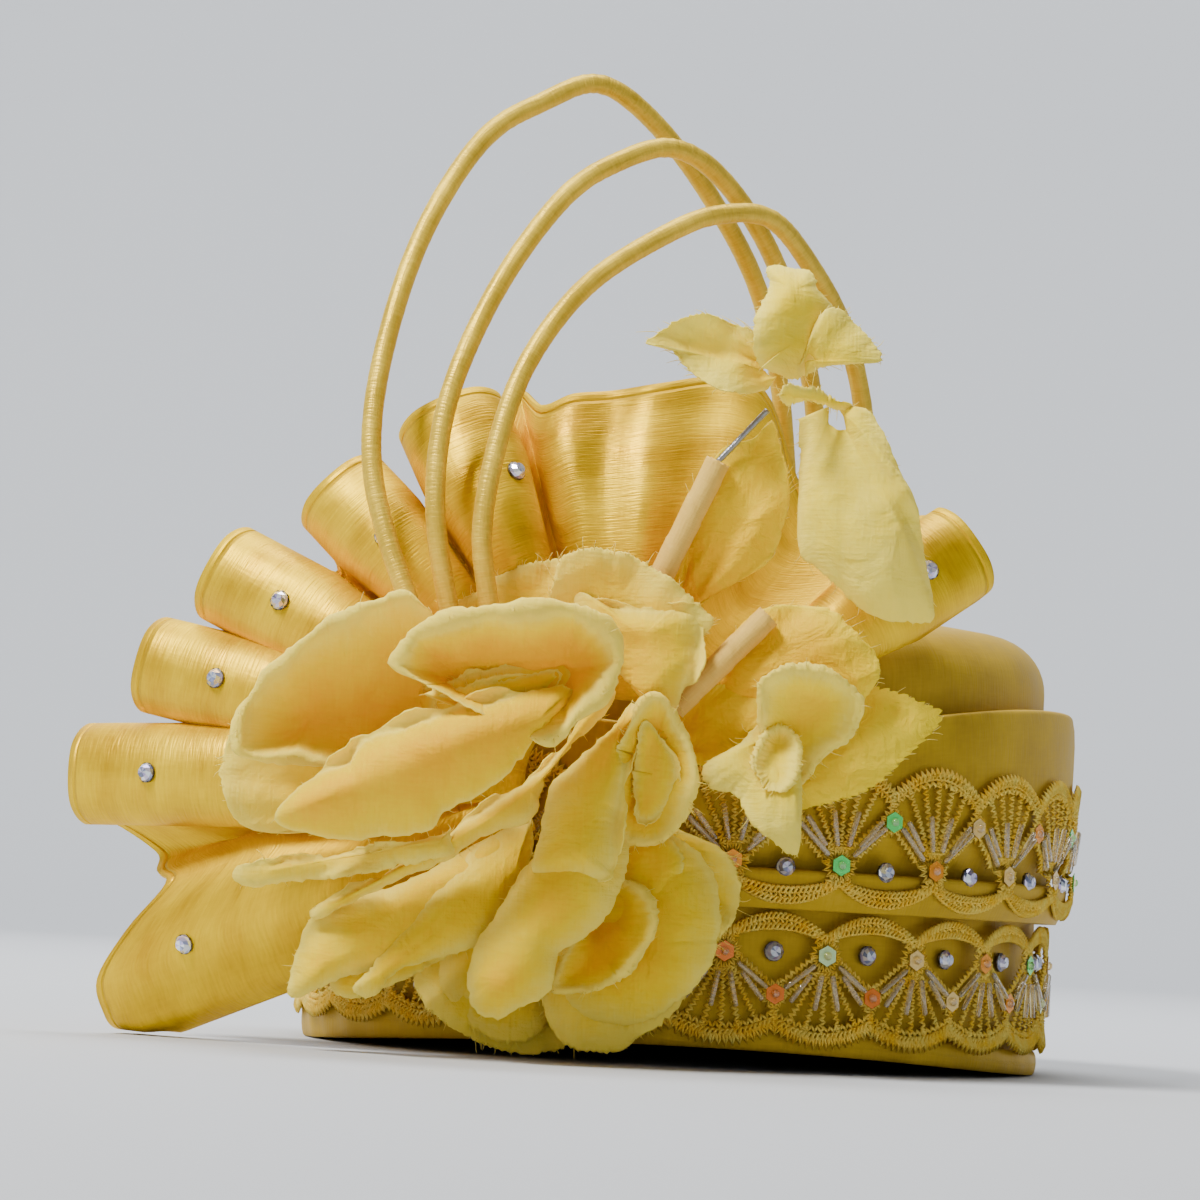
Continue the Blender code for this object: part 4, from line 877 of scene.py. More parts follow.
cell_turn = LACE_PHASE + LACE_STEP * np.arange(LACE_CELLS)
seats, ways = [], []
on_brim = upper_outward(cell_turn, np.full(LACE_CELLS, UPPER_STONE_HEIGHT))
for height, outward in (
    (UPPER_STONE_HEIGHT, on_brim - LACE_CLEARANCE - UPPER_STONE_INSET),
    (LOWER_STONE_HEIGHT, GAP),
):
    seats.append(on_oval(cell_turn, outward + GAP, height))
    ways.append(away(seats[-1]))
stone_nodes = [name for name in sorted(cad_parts) if name.startswith("stone_")]
# the stones that aren't on the upper or the lower tier are on the ruffle
for name in (name for name in stone_nodes if "er_" not in name):
    low, high = (np.array(corner) / MM - HAT_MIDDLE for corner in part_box(name))
    across = np.linalg.norm((ruffle - (low + high) / 2) * [1, 0.2, 1], axis=-1)
    i, j = np.unravel_index(across[2:-2, 2:-2].argmin(), across[2:-2, 2:-2].shape)
    i, j = i + 2, j + 2
    way = np.cross(ruffle[i + 1, j] - ruffle[i - 1, j], ruffle[i, j + 1] - ruffle[i, j - 1])
    way = way * (-1 if way[1] > 0 else 1) / np.linalg.norm(way)
    seats.append((ruffle[i, j] + way * RUFFLE_STONE_LIFT)[None])
    ways.append(way[None])
seats, ways = np.concatenate(seats), np.concatenate(ways)
stone_points, stone_faces = turned(seats, ways, STONE_PROFILE, STONE_RADIUS, STONE_HEIGHT, STONE_SIDES, 1)
cup_points, cup_faces = turned(seats, ways, CUP_PROFILE, STONE_RADIUS, STONE_HEIGHT, STONE_SIDES, 0)
# every facet has corners of its own, so that it keeps its own painted reflection
loose_points = stone_points[stone_faces].reshape(-1, 3)
loose_faces = np.arange(len(loose_points)).reshape(-1, 4)
painted_facet_reflection = np.repeat(luck.random(len(loose_faces)), 4)
add_piece("cut_stones", loose_points, [loose_faces], crystal_material(), "crystal", stone_nodes,
          tone=painted_facet_reflection, crisp=5)
add_piece("stone_cups", cup_points, [cup_faces], cup_material(), "wire")


# Loops. Three long loops of satin rouleau, sewn bias tubes drawn over wire, that start in the flower,
# rise over the ruffle and end on the crown.
LOOP_SPAN, LOOP_RISE, LOOP_RADIUS = 100.0, 140.0, 2.4
# Routes in shares of the span to the right, the rise above the crown's side and half the crown's depth
LOOP_ROUTES = {
    "loop_tall": (
        (-0.61, -0.19, -0.12), (-0.67, -0.06, -0.13), (-0.74, 0.06, -0.12), (-0.79, 0.20, -0.09),
        (-0.78, 0.37, -0.03), (-0.71, 0.59, 0.08), (-0.58, 0.78, 0.21), (-0.44, 0.86, 0.29),
        (-0.30, 0.91, 0.37), (-0.14, 0.84, 0.47), (0.01, 0.72, 0.60), (0.12, 0.60, 0.74),
        (0.19, 0.45, 0.88), (0.23, 0.26, 0.98), (0.24, 0.13, 1.00), (0.24, 0.03, 1.00),
    ),
    "loop_middle": (
        (-0.55, -0.15, -0.13), (-0.59, -0.04, -0.14), (-0.63, 0.10, -0.14), (-0.63, 0.24, -0.11),
        (-0.59, 0.37, -0.07), (-0.50, 0.53, 0.02), (-0.37, 0.68, 0.12), (-0.25, 0.75, 0.19),
        (-0.12, 0.79, 0.27), (0.01, 0.75, 0.37), (0.15, 0.63, 0.52), (0.26, 0.45, 0.72),
        (0.30, 0.27, 0.82), (0.31, 0.13, 0.84), (0.31, 0.03, 0.84),
    ),
    "loop_short": (
        (-0.46, -0.13, -0.14), (-0.50, -0.02, -0.15), (-0.52, 0.10, -0.15), (-0.48, 0.28, -0.11),
        (-0.41, 0.41, -0.05), (-0.29, 0.53, 0.03), (-0.11, 0.63, 0.14), (0.00, 0.67, 0.21),
        (0.13, 0.68, 0.31), (0.24, 0.61, 0.43), (0.33, 0.52, 0.54), (0.39, 0.40, 0.63),
        (0.42, 0.26, 0.69), (0.43, 0.12, 0.70), (0.43, 0.03, 0.70),
    ),
}


def own_vertices(node):
    """The different points of a solid, in millimetres in the hat's frame."""
    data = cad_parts[node].data
    found = np.zeros(len(data.vertices) * 3)
    data.vertices.foreach_get("co", found)
    return np.unique(np.round(found.reshape(-1, 3) / MM - HAT_MIDDLE, 3), axis=0)


def solid_centres(node, guess):
    """The middles of a solid rod's rings: each of its points goes to the nearest guessed ring, with the
    depth counted for little, and every ring takes the mean of its own."""
    corners = own_vertices(node)
    weight = np.array([1.0, 0.15, 1.0])
    gaps = np.linalg.norm((corners[:, None] - guess[None]) * weight, axis=-1)
    nearest = gaps.argmin(1)
    own = [corners[nearest == k] for k in range(len(guess))]
    return np.array([some.mean(0) if len(some) else guess[k] for k, some in enumerate(own)])


def smooth(run, times):
    """Moves each point between the ends of a run a quarter of the way to each neighbour, in place."""
    for _ in range(times):
        run[1:-1] = (run[:-2] + 2 * run[1:-1] + run[2:]) / 4


def rouleau(path, radius, sides, wrinkle):
    """A round tube along a path, pinched by small folds that run across it and are deeper where it
    bends, with its seam as a low ridge down one side. Returns its grid and its uv."""
    tangent = np.gradient(path, axis=0)
    tangent /= np.linalg.norm(tangent, axis=1, keepdims=True)
    normal = np.cross(tangent, [0.15, 1.0, 0.05])
    normal /= np.linalg.norm(normal, axis=1, keepdims=True)
    side = np.cross(tangent, normal)
    length = np.concatenate([[0], np.cumsum(np.linalg.norm(np.diff(path, axis=0), axis=1))])
    turn = np.arange(sides) * 2 * math.pi / sides
    bend = np.linalg.norm(np.gradient(tangent, axis=0), axis=1) / np.gradient(length)
    folds = np.sin(length[:, None] * 1.5 + 2.0 * np.sin(turn)[None] + np.sin(length[:, None] * 0.31) * 4)
    depth = wrinkle * (0.35 + 18 * np.minimum(bend, 0.05))[:, None]
    swell = radius + depth * folds * 0.35 + 0.14 * np.exp(-((turn - 2.2) / 0.18) ** 2)[None]
    spokes = np.cos(turn)[None, :, None] * normal[:, None] + np.sin(turn)[None, :, None] * side[:, None]
    grid = path[:, None] + swell[..., None] * spokes
    uv = np.stack(np.broadcast_arrays((turn * radius)[None], length[:, None]), -1)
    return grid, uv


def capped(rows, columns):
    """Faces for a tube's grid, with its two ends closed."""
    last = (rows - 1) * columns + np.arange(columns)
    return [quads(rows, columns, wrap_columns=True), np.arange(columns)[None, ::-1], last[None]]


rouleau_satin = woven("rouleau_satin", (0.42, 0.25, 0.004), (0.96, 0.68, 0.07), 1.6, 0.35, 0.30, 0.44, 0.2,
                      metallic=0.4, specular_tint=(1.0, 0.80, 0.30, 1))
LOOP_COARSE, LOOP_FINE, LOOP_SIDES = 25, 420, 18
for name, route in LOOP_ROUTES.items():
    right, up, back = np.array(route).T
    hand = np.stack([LOOP_SPAN * right, -FRONT_PLANE + HALF_DEPTH * back, CROWN_HEIGHT + LOOP_RISE * up], -1)
    drawn = through(hand, LOOP_COARSE)
    shift = solid_centres(name, drawn) - drawn
    smooth(shift, 4)
    bent = through(hand, LOOP_FINE) + through(shift, LOOP_FINE)
    smooth(bent, 60)
    grid, uv = rouleau(bent, LOOP_RADIUS, LOOP_SIDES, 0.16)
    add_piece(f"{name}_rouleau", grid, capped(*grid.shape[:2]), rouleau_satin, "satin_deep", [name], uv,
              np.full(grid.shape[:2], 0.28))


# Flower, leaves and buds. Petals cut from stiffened silk, with painted light in their colour: deep orange
# for the shade and bounced light at the root and pale for the light on the edge. Their rims are rolled over
# a hot iron and left raw, so that they fray. Each is sewn on at its root.
FLOWER_RADIUS, FLOWER_LEFT, FLOWER_HEIGHT, FLOWER_TURN = 61.0, 48.0, 59.0, math.radians(3.1)
PETAL_FLOOR, NARROWEST_CUT, LEAST_CUT_SHARE = 1.2, 10.5, 0.31
RIM_POINTS, PLAIN_ROWS, ROLL_ROWS = 120, 24, 6
ROOT_SHARE, SPINE_STEPS, SPINE_POINTS = 0.12, 16, 200
# Places are in flower radii right of and above the flower's middle. Each row holds the root, or the line
# along the middle of a petal that is shaped on both sides of one, how many mm the middle bulges forward
# (below zero for a hollow whose rim stands forward), the ripple in mm, the tone at root and at rim, which
# paint light into the colour (a deep tone for the shade and bounced light at the root, a pale one for the
# light on the rim), the rim's rolls, and the outline from one side of the root round to the other. A roll is
# (start, end, radius in mm, degrees): shares of the way along the outline, and degrees above zero for a rim
# rolled forward, below zero for one rolled back
PETALS = {
    "petal_bottom": ((0.10, -0.30), 2, 1.6, (0.15, 0.75), ((0.1, 0.9, 1.3, -60),), (
        (-0.22, -0.48), (-0.28, -0.64), (-0.23, -0.77), (-0.13, -0.85), (-0.02, -0.91), (0.10, -0.95),
        (0.24, -0.95), (0.34, -0.89), (0.44, -0.72), (0.42, -0.45))),
    "petal_bottom_right": ((0.40, -0.30), 2, 1.4, (0.15, 0.7), ((0.1, 0.9, 1.3, -60),), (
        (0.20, -0.45), (0.22, -0.75), (0.29, -0.90), (0.40, -0.94), (0.52, -0.94), (0.60, -0.88),
        (0.70, -0.82), (0.77, -0.72), (0.80, -0.55), (0.62, -0.35))),
    "petal_right_outer": ((0.44, -0.10), 2, 1.2, (0.0, 0.6), ((0.1, 0.9, 1.4, -60),), (
        (0.60, 0.05), (0.73, -0.08), (0.83, -0.13), (0.91, -0.17), (0.97, -0.25), (0.98, -0.36),
        (0.93, -0.47), (0.84, -0.56), (0.70, -0.50))),
    "petal_right_round": (((0.58, -0.30), (0.60, -0.58)), 5, 1.3, (0.1, 0.7), ((0.08, 0.92, 1.1, -140),), (
        (0.62, -0.05), (0.79, -0.16), (0.87, -0.24), (0.90, -0.34), (0.90, -0.49), (0.86, -0.62),
        (0.74, -0.76), (0.58, -0.84), (0.42, -0.83), (0.29, -0.75), (0.25, -0.55))),
    "petal_top_left": ((0.15, 0.40), 1, 1.5, (0.0, 0.5), ((0.1, 0.9, 1.1, -60),), (
        (-0.18, 0.62), (-0.20, 0.70), (-0.06, 0.80), (0.06, 0.88), (0.20, 0.93), (0.34, 0.92),
        (0.40, 0.75))),
    "petal_left_low": ((-0.15, 0.0), 1, 1.6, (0.1, 0.75), ((0.1, 0.9, 1.3, -60),), (
        (-0.30, 0.12), (-0.70, 0.22), (-0.93, 0.28), (-1.00, 0.16), (-0.98, 0.02), (-0.92, -0.08),
        (-0.78, -0.11), (-0.60, -0.10), (-0.30, -0.08))),
    "petal_left_cup": (((-0.25, 0.42), (-0.66, 0.32)), -8, 1.2, (-0.05, 0.72), ((0.06, 0.92, 1.6, -170),), (
        (-0.10, 0.62), (-0.26, 0.76), (-0.37, 0.75), (-0.53, 0.69), (-0.63, 0.63), (-0.72, 0.55),
        (-0.81, 0.48), (-0.87, 0.39), (-0.91, 0.32), (-0.92, 0.25), (-0.88, 0.17), (-0.65, 0.16),
        (-0.30, 0.10))),
    "petal_top": ((0.45, 0.45), 1, 1.3, (0.1, 0.7), ((0.1, 0.9, 1.5, -60),), (
        (0.24, 0.72), (0.28, 0.90), (0.35, 0.96), (0.48, 0.96), (0.58, 0.93), (0.72, 0.84),
        (0.82, 0.75), (0.87, 0.69), (0.80, 0.60))),
    "petal_top_right": (((0.56, 0.45), (0.60, 0.62)), 5, 1.0, (0.15, 0.7),
        ((0.08, 0.6, 1.7, 170), (0.6, 0.95, 1.3, -60)), (
        (0.30, 0.72), (0.36, 0.80), (0.46, 0.76), (0.62, 0.74), (0.80, 0.74), (0.83, 0.66),
        (0.81, 0.52), (0.76, 0.42), (0.66, 0.34))),
    "petal_low_left_short": (((-0.10, -0.48), (-0.48, -0.64)), 2, 1.4, (0.1, 0.75),
        ((0.1, 0.9, 1.2, -60),), (
        (-0.10, -0.45), (-0.35, -0.50), (-0.56, -0.58), (-0.60, -0.67), (-0.54, -0.74), (-0.40, -0.72),
        (-0.16, -0.60), (-0.02, -0.50))),
    "petal_low_left_long": (((0.10, -0.15), (-0.60, -0.58)), 3, 1.3, (0.2, 0.8), ((0.1, 0.9, 1.3, -60),), (
        (0.18, -0.05), (0.0, -0.13), (-0.30, -0.28), (-0.60, -0.38), (-0.70, -0.50), (-0.75, -0.66),
        (-0.73, -0.74), (-0.60, -0.70), (-0.44, -0.64), (-0.20, -0.58), (-0.02, -0.52), (0.16, -0.25))),
    "petal_right_inner": (((0.43, -0.40), (0.46, -0.57)), -3, 0.7, (-0.15, 0.6),
        ((0.08, 0.92, 1.2, -170),), (
        (0.42, -0.28), (0.54, -0.29), (0.62, -0.34), (0.65, -0.43), (0.62, -0.52), (0.54, -0.63),
        (0.45, -0.69), (0.34, -0.71), (0.26, -0.68), (0.34, -0.50))),
    "petal_right_curl": (((0.58, 0.02), (0.66, 0.26)), -3, 0.7, (-0.15, 0.7), ((0.08, 0.92, 1.3, -170),), (
        (0.50, 0.20), (0.60, 0.38), (0.66, 0.40), (0.72, 0.32), (0.78, 0.20), (0.80, 0.11), (0.79, 0.02),
        (0.71, -0.11), (0.60, -0.16), (0.50, -0.10))),
    "petal_centre_long": (((0.40, -0.20), (0.06, -0.66)), 6, 1.0, (0.15, 0.85), ((0.06, 0.94, 1.5, -60),), (
        (0.24, -0.15), (0.12, -0.28), (0.05, -0.38), (-0.05, -0.55), (-0.08, -0.67), (-0.05, -0.77),
        (0.01, -0.82), (0.08, -0.82), (0.17, -0.77), (0.27, -0.70), (0.31, -0.57), (0.46, -0.46),
        (0.53, -0.32), (0.55, -0.12))),
    "petal_centre_short": (((0.52, 0.28), (0.32, -0.16)), 4, 0.8, (0.15, 0.8),
        ((0.04, 0.5, 1.4, -60), (0.55, 0.98, 1.6, 190)), (
        (0.56, 0.38), (0.46, 0.27), (0.34, 0.17), (0.25, 0.08), (0.20, -0.10), (0.18, -0.26),
        (0.27, -0.30), (0.37, -0.31), (0.48, -0.27), (0.51, -0.14), (0.53, 0.05), (0.56, 0.25),
        (0.60, 0.36))),
    "petal_sweep": (((0.42, 0.36), (0.12, 0.0), (-0.55, -0.38)), 3, 1.1, (0.35, 0.95),
        ((0.06, 0.5, 1.3, 150), (0.5, 0.95, 1.3, -60)), (
        (0.45, 0.48), (0.36, 0.32), (0.26, 0.17), (0.12, 0.06), (-0.05, -0.05), (-0.20, -0.16),
        (-0.38, -0.27), (-0.65, -0.39), (-0.63, -0.44), (-0.45, -0.36), (-0.25, -0.28), (-0.10, -0.21),
        (0.03, -0.13), (0.20, -0.06), (0.25, 0.12), (0.36, 0.22), (0.50, 0.40))),
    "petal_left_strip": (((-0.16, -0.15), (-0.85, -0.26)), 1, 1.6, (0.45, 1.0),
        ((0.05, 0.45, 1.2, 150), (0.5, 0.95, 1.2, -60)), (
        (-0.12, -0.10), (-0.16, -0.12), (-0.60, -0.20), (-0.85, -0.21), (-0.94, -0.25), (-0.93, -0.30),
        (-0.85, -0.32), (-0.69, -0.30), (-0.39, -0.26), (-0.12, -0.20))),
    "petal_heart_back": (((-0.08, 0.45), (0.32, 0.50)), -12, 0.5, (-0.45, 0.70),
        ((0.01, 0.80, 2.3, -200),), (
        (-0.20, 0.42), (-0.31, 0.50), (-0.25, 0.60), (-0.17, 0.65), (-0.06, 0.68), (0.11, 0.70),
        (0.30, 0.71), (0.45, 0.65), (0.51, 0.55), (0.46, 0.42), (0.36, 0.32), (0.21, 0.22))),
    "petal_heart_fold": (((-0.08, 0.36), (0.24, 0.42)), 2, 0.6, (-0.1, 0.8), ((0.08, 0.8, 0.9, 150),), (
        (-0.22, 0.40), (-0.10, 0.46), (0.05, 0.50), (0.20, 0.53), (0.32, 0.54), (0.34, 0.46),
        (0.28, 0.36), (0.10, 0.28))),
    "petal_lip": (((0.22, 0.30), (-0.55, 0.02)), 7, 0.8, (-0.1, 0.5),
        ((0.03, 0.42, 1.9, 190), (0.46, 0.92, 1.4, -60)), (
        (0.34, 0.42), (0.28, 0.43), (0.06, 0.39), (-0.20, 0.32), (-0.44, 0.24), (-0.50, 0.17),
        (-0.60, 0.12), (-0.72, 0.02), (-0.78, -0.07), (-0.63, -0.14), (-0.42, -0.15), (-0.20, -0.12),
        (-0.13, -0.06), (0.11, 0.09), (0.20, 0.23), (0.32, 0.36))),
}
LEAF_PIECES = {
    "leaf_upper": ((0.74, 0.72), 1, 1.3, (0.0, 0.5), ((0.15, 0.85, 1.1, -60),), (
        (0.68, 0.80), (0.70, 0.93), (0.78, 1.14), (0.91, 1.36), (1.03, 1.40), (1.10, 1.47), (1.14, 1.35),
        (1.17, 1.18), (1.14, 1.06), (1.09, 0.93), (0.94, 0.84), (0.82, 0.76))),
    "leaf_lower": ((0.76, 0.38), 1, 1.2, (0.0, 0.45), ((0.15, 0.85, 1.1, -60),), (
        (0.86, 0.50), (0.96, 0.66), (1.08, 0.75), (1.23, 0.76), (1.34, 0.73), (1.43, 0.64), (1.50, 0.57),
        (1.50, 0.46), (1.38, 0.36), (1.18, 0.30), (0.95, 0.34), (0.83, 0.36))),
    "leaf_inner": ((0.70, 0.24), 1, 1.2, (0.0, 0.4), ((0.15, 0.85, 1.1, -60),), (
        (0.74, 0.30), (0.80, 0.42), (0.92, 0.46), (1.03, 0.42), (1.06, 0.30), (1.0, 0.18), (0.88, 0.14),
        (0.76, 0.18))),
    "leaf_serrated": ((1.10, 0.10), 1, 0.7, (0.55, 0.8), (), (
        (1.10, -0.02), (1.20, -0.02), (1.34, 0.02), (1.46, 0.06), (1.59, 0.17), (1.74, 0.33), (1.65, 0.39),
        (1.55, 0.43), (1.39, 0.44), (1.22, 0.36), (1.12, 0.22))),
}
BUD_PIECES = {
    "bud_leaf": ((1.12, 1.64), 1, 1.6, (0.4, 0.9), ((0.1, 0.9, 0.7, 110),), (
        (1.06, 1.72), (1.02, 1.80), (0.94, 1.83), (0.83, 1.86), (0.73, 1.83), (0.68, 1.80), (0.61, 1.74),
        (0.70, 1.73), (0.73, 1.70), (0.78, 1.64), (0.87, 1.57), (0.98, 1.55), (1.08, 1.58))),
    "bud_cup": (((1.17, 1.74), (1.17, 1.94)), 4, 1.6, (0.35, 0.85), ((0.1, 0.9, 1.2, -60),), (
        (1.05, 1.64), (1.02, 1.72), (1.02, 1.83), (1.08, 1.98), (1.07, 2.07), (1.14, 2.08), (1.26, 2.04),
        (1.29, 1.97), (1.36, 1.88), (1.37, 1.76), (1.28, 1.66), (1.18, 1.61))),
    "bud_flap": ((1.22, 1.68), 1, 0.8, (0.35, 0.8), ((0.1, 0.9, 1.0, -60),), (
        (1.20, 1.66), (1.28, 1.86), (1.37, 1.88), (1.47, 1.78), (1.52, 1.69), (1.42, 1.67), (1.30, 1.66),
        (1.22, 1.62))),
    "bud_strip": (((1.14, 1.53), (1.36, 1.52)), 1, 0.5, (0.4, 0.8), ((0.1, 0.9, 0.9, -60),), (
        (1.11, 1.53), (1.15, 1.57), (1.26, 1.57), (1.37, 1.53), (1.41, 1.51), (1.37, 1.48), (1.26, 1.51),
        (1.14, 1.50))),
    "bud_long": ((1.33, 1.52), 4, 1.2, (0.5, 0.9), ((0.1, 0.9, 1.1, -60),), (
        (1.20, 1.48), (1.21, 1.35), (1.20, 1.19), (1.20, 0.95), (1.30, 0.86), (1.42, 0.74), (1.49, 0.70),
        (1.63, 0.68), (1.71, 0.69), (1.71, 0.77), (1.68, 0.93), (1.66, 1.06), (1.63, 1.16), (1.58, 1.25),
        (1.54, 1.35), (1.49, 1.46), (1.45, 1.50))),
    "bud_low_cup": (((1.14, 0.24), (1.24, 0.38)), -4, 0.9, (0.0, 0.9), ((0.08, 0.92, 1.2, -170),), (
        (1.06, 0.12), (1.05, 0.31), (1.05, 0.45), (1.12, 0.50), (1.22, 0.51), (1.32, 0.48), (1.40, 0.42),
        (1.42, 0.34), (1.37, 0.24), (1.28, 0.18), (1.20, 0.08))),
    "bud_low_lip": ((1.13, 0.26), 2, 1.1, (0.3, 0.9), ((0.08, 0.92, 0.9, -150),), (
        (1.04, 0.30), (0.96, 0.22), (0.83, 0.14), (0.86, 0.05), (0.95, 0.03), (1.01, -0.08), (1.09, -0.15),
        (1.18, -0.20), (1.20, -0.05), (1.20, 0.12), (1.19, 0.26))),
}
# Petals tucked in over another one: on which, how many mm forward of it, then as above
TUCKED = {
    "petal_bottom_inner": ("petal_bottom", 2.5, (0.10, -0.40), 2, 1.5, (0.1, 0.8), ((0.1, 0.9, 1.3, -60),), (
        (-0.17, -0.55), (-0.17, -0.69), (-0.09, -0.80), (-0.03, -0.87), (0.09, -0.91), (0.19, -0.89),
        (0.26, -0.80), (0.30, -0.60))),
    "petal_right_mid": ("petal_right_round", 3.5, ((0.50, -0.22), (0.66, -0.24)), 2, 0.8, (0.0, 0.75),
        ((0.08, 0.92, 1.2, -160),), (
        (0.42, -0.10), (0.52, -0.05), (0.67, -0.09), (0.75, -0.16), (0.77, -0.25), (0.71, -0.38),
        (0.62, -0.46), (0.45, -0.40))),
    "petal_low_left_front": ("petal_low_left_long", 2.5, ((0.12, -0.25), (-0.38, -0.64)), 3, 1.3,
        (0.2, 0.85), ((0.1, 0.9, 1.3, -60),), (
        (0.18, -0.05), (0.02, -0.12), (-0.10, -0.22), (-0.22, -0.36), (-0.34, -0.50), (-0.44, -0.62),
        (-0.50, -0.70), (-0.42, -0.74), (-0.33, -0.66), (-0.20, -0.60), (-0.02, -0.55), (0.08, -0.45),
        (0.18, -0.20))),
    "petal_right_heart": ("petal_right_curl", 2.0, ((0.62, 0.02), (0.65, 0.20)), 1, 0.2, (0.0, 0.75),
        ((0.1, 0.9, 0.8, 150),), (
        (0.56, 0.12), (0.60, 0.30), (0.66, 0.26), (0.73, 0.14), (0.72, 0.04), (0.65, -0.06), (0.58, -0.05))),
    "petal_heart_inner": ("petal_heart_fold", 2.2, ((-0.05, 0.38), (0.22, 0.44)), 1, 0.5, (0.0, 0.85),
        ((0.08, 0.8, 0.8, 150),), (
        (-0.16, 0.39), (-0.06, 0.43), (0.10, 0.46), (0.24, 0.49), (0.29, 0.47), (0.24, 0.40), (0.10, 0.33))),
    "bud_low_curl": ("bud_low_lip", 1.6, ((1.10, 0.12), (1.12, 0.22)), -2, 0.4, (0.3, 1.0),
        ((0.08, 0.92, 0.9, -170),), (
        (1.05, 0.05), (1.02, 0.16), (1.07, 0.26), (1.14, 0.29), (1.19, 0.22), (1.18, 0.12), (1.13, 0.04))),
}


def on_flower(places):
    """Places on the ornament as x and z in the hat's frame."""
    u, v = np.asarray(places, float).T
    turned_u = u * math.cos(FLOWER_TURN) - v * math.sin(FLOWER_TURN)
    turned_v = u * math.sin(FLOWER_TURN) + v * math.cos(FLOWER_TURN)
    return np.stack([FLOWER_RADIUS * turned_u - FLOWER_LEFT, FLOWER_RADIUS * turned_v + FLOWER_HEIGHT], -1)


def seat_of(node, stiffness=30.0):
    """How deep a solid petal's front lies under each place, as a thin plate bent through its points: a
    plane plus, for each point, its weight times distance squared times the distance's logarithm."""
    corners = own_vertices(node)
    spots = {}
    for x, y, z in corners:
        key = (round(x, 1), round(z, 1))
        spots[key] = min(y, spots.get(key, y))
    places, depth = np.array(list(spots)), np.array(list(spots.values()))

    def plate(d):
        return d * d * np.log(d + 1e-6)

    gaps = np.linalg.norm(places[:, None] - places[None], axis=-1)
    flat = np.column_stack([np.ones(len(places)), places])
    table = np.block([[plate(gaps) + stiffness * np.eye(len(places)), flat], [flat.T, np.zeros((3, 3))]])
    weights = np.linalg.solve(table, np.concatenate([depth, np.zeros(3)]))

    def depth_at(where):
        reach = np.linalg.norm(where[..., None, :] - places, axis=-1)
        found = plate(reach) @ weights[:-3] + weights[-3] + where @ weights[-2:]
        return np.clip(found, depth.min() - 1, depth.max() + 1)

    return depth_at


def window(share, start, end, soft=0.06):
    """1 between start and end of the way round, easing to 0 just outside them."""
    return np.clip((share - start) / soft, 0, 1) * np.clip((end - share) / soft, 0, 1)


def sharp_folds(places, seed, count, depth, width):
    """Creases pressed into cloth: along each of some random lines the depth falls off evenly to both
    sides within the width, and fades towards the line's ends."""
    total = np.zeros(places.shape[:-1])
    low, high = places.reshape(-1, 2).min(0), places.reshape(-1, 2).max(0)
    for _ in range(count):
        middle, way = seed.uniform(low, high), seed.uniform(0, math.pi)
        along = (places - middle) @ np.array([math.cos(way), math.sin(way)])
        across = (places - middle) @ np.array([-math.sin(way), math.cos(way)])
        run = seed.uniform(0.25, 0.6) * np.linalg.norm(high - low)
        ridge = np.clip(1 - np.abs(across + 0.6 * np.sin(along / 6)) / width, 0, 1)
        total += seed.choice([-1, 1]) * depth * ridge * np.exp(-((along / run) ** 2))
    return total


def laid_out(root, outline):
    """A petal's rim as evenly spaced places, the rim's length, and where each of its places is joined:
    to the root, or to one of a few steps along the line in the petal's middle."""
    spined = np.ndim(root) > 1
    curve = through(on_flower((*outline, outline[0]) if spined else outline), 900)
    run = np.concatenate([[0], np.cumsum(np.linalg.norm(np.diff(curve, axis=0), axis=1))])
    along = np.linspace(0, 1, RIM_POINTS) * run[-1]
    rim = np.stack([np.interp(along, run, curve[:, k]) for k in (0, 1)], -1)
    if not spined:
        return rim, run[-1], on_flower([root])
    spine = through(on_flower(root), SPINE_POINTS)
    nearest = np.linalg.norm(rim[:, None] - spine[None], axis=-1).argmin(1).astype(float)
    for _ in range(12):
        nearest = (np.roll(nearest, 1) + 2 * nearest + np.roll(nearest, -1)) / 4
    last = SPINE_POINTS - 1
    meeting = np.round(nearest / last * SPINE_STEPS) / SPINE_STEPS * last
    joins = [np.interp(meeting, np.arange(SPINE_POINTS), spine[:, k]) for k in (0, 1)]
    return rim, run[-1], np.stack(joins, -1)


def rolled_rim(sheet, radius, degrees):
    """The rows past a sheet's last one, which turn on round a small circle: forward for degrees above
    zero, and back below it."""
    tangent = sheet[-1] - sheet[-2]
    tangent /= np.linalg.norm(tangent, axis=1, keepdims=True) + 1e-9
    facing = np.array([0.0, -1.0, 0.0])
    normal = facing - (tangent @ facing)[:, None] * tangent
    normal /= np.linalg.norm(normal, axis=1, keepdims=True) + 1e-9
    bends = np.radians(degrees)[None] * (np.arange(1, ROLL_ROWS + 1) / ROLL_ROWS)[:, None]
    onwards = np.sin(np.abs(bends))[..., None] * tangent
    aside = (np.sign(bends) * (1 - np.cos(bends)))[..., None] * normal
    rolled = sheet[-1] + radius[None, :, None] * (onwards + aside)
    rolled[..., 2] = np.maximum(rolled[..., 2], PETAL_FLOOR)
    return rolled


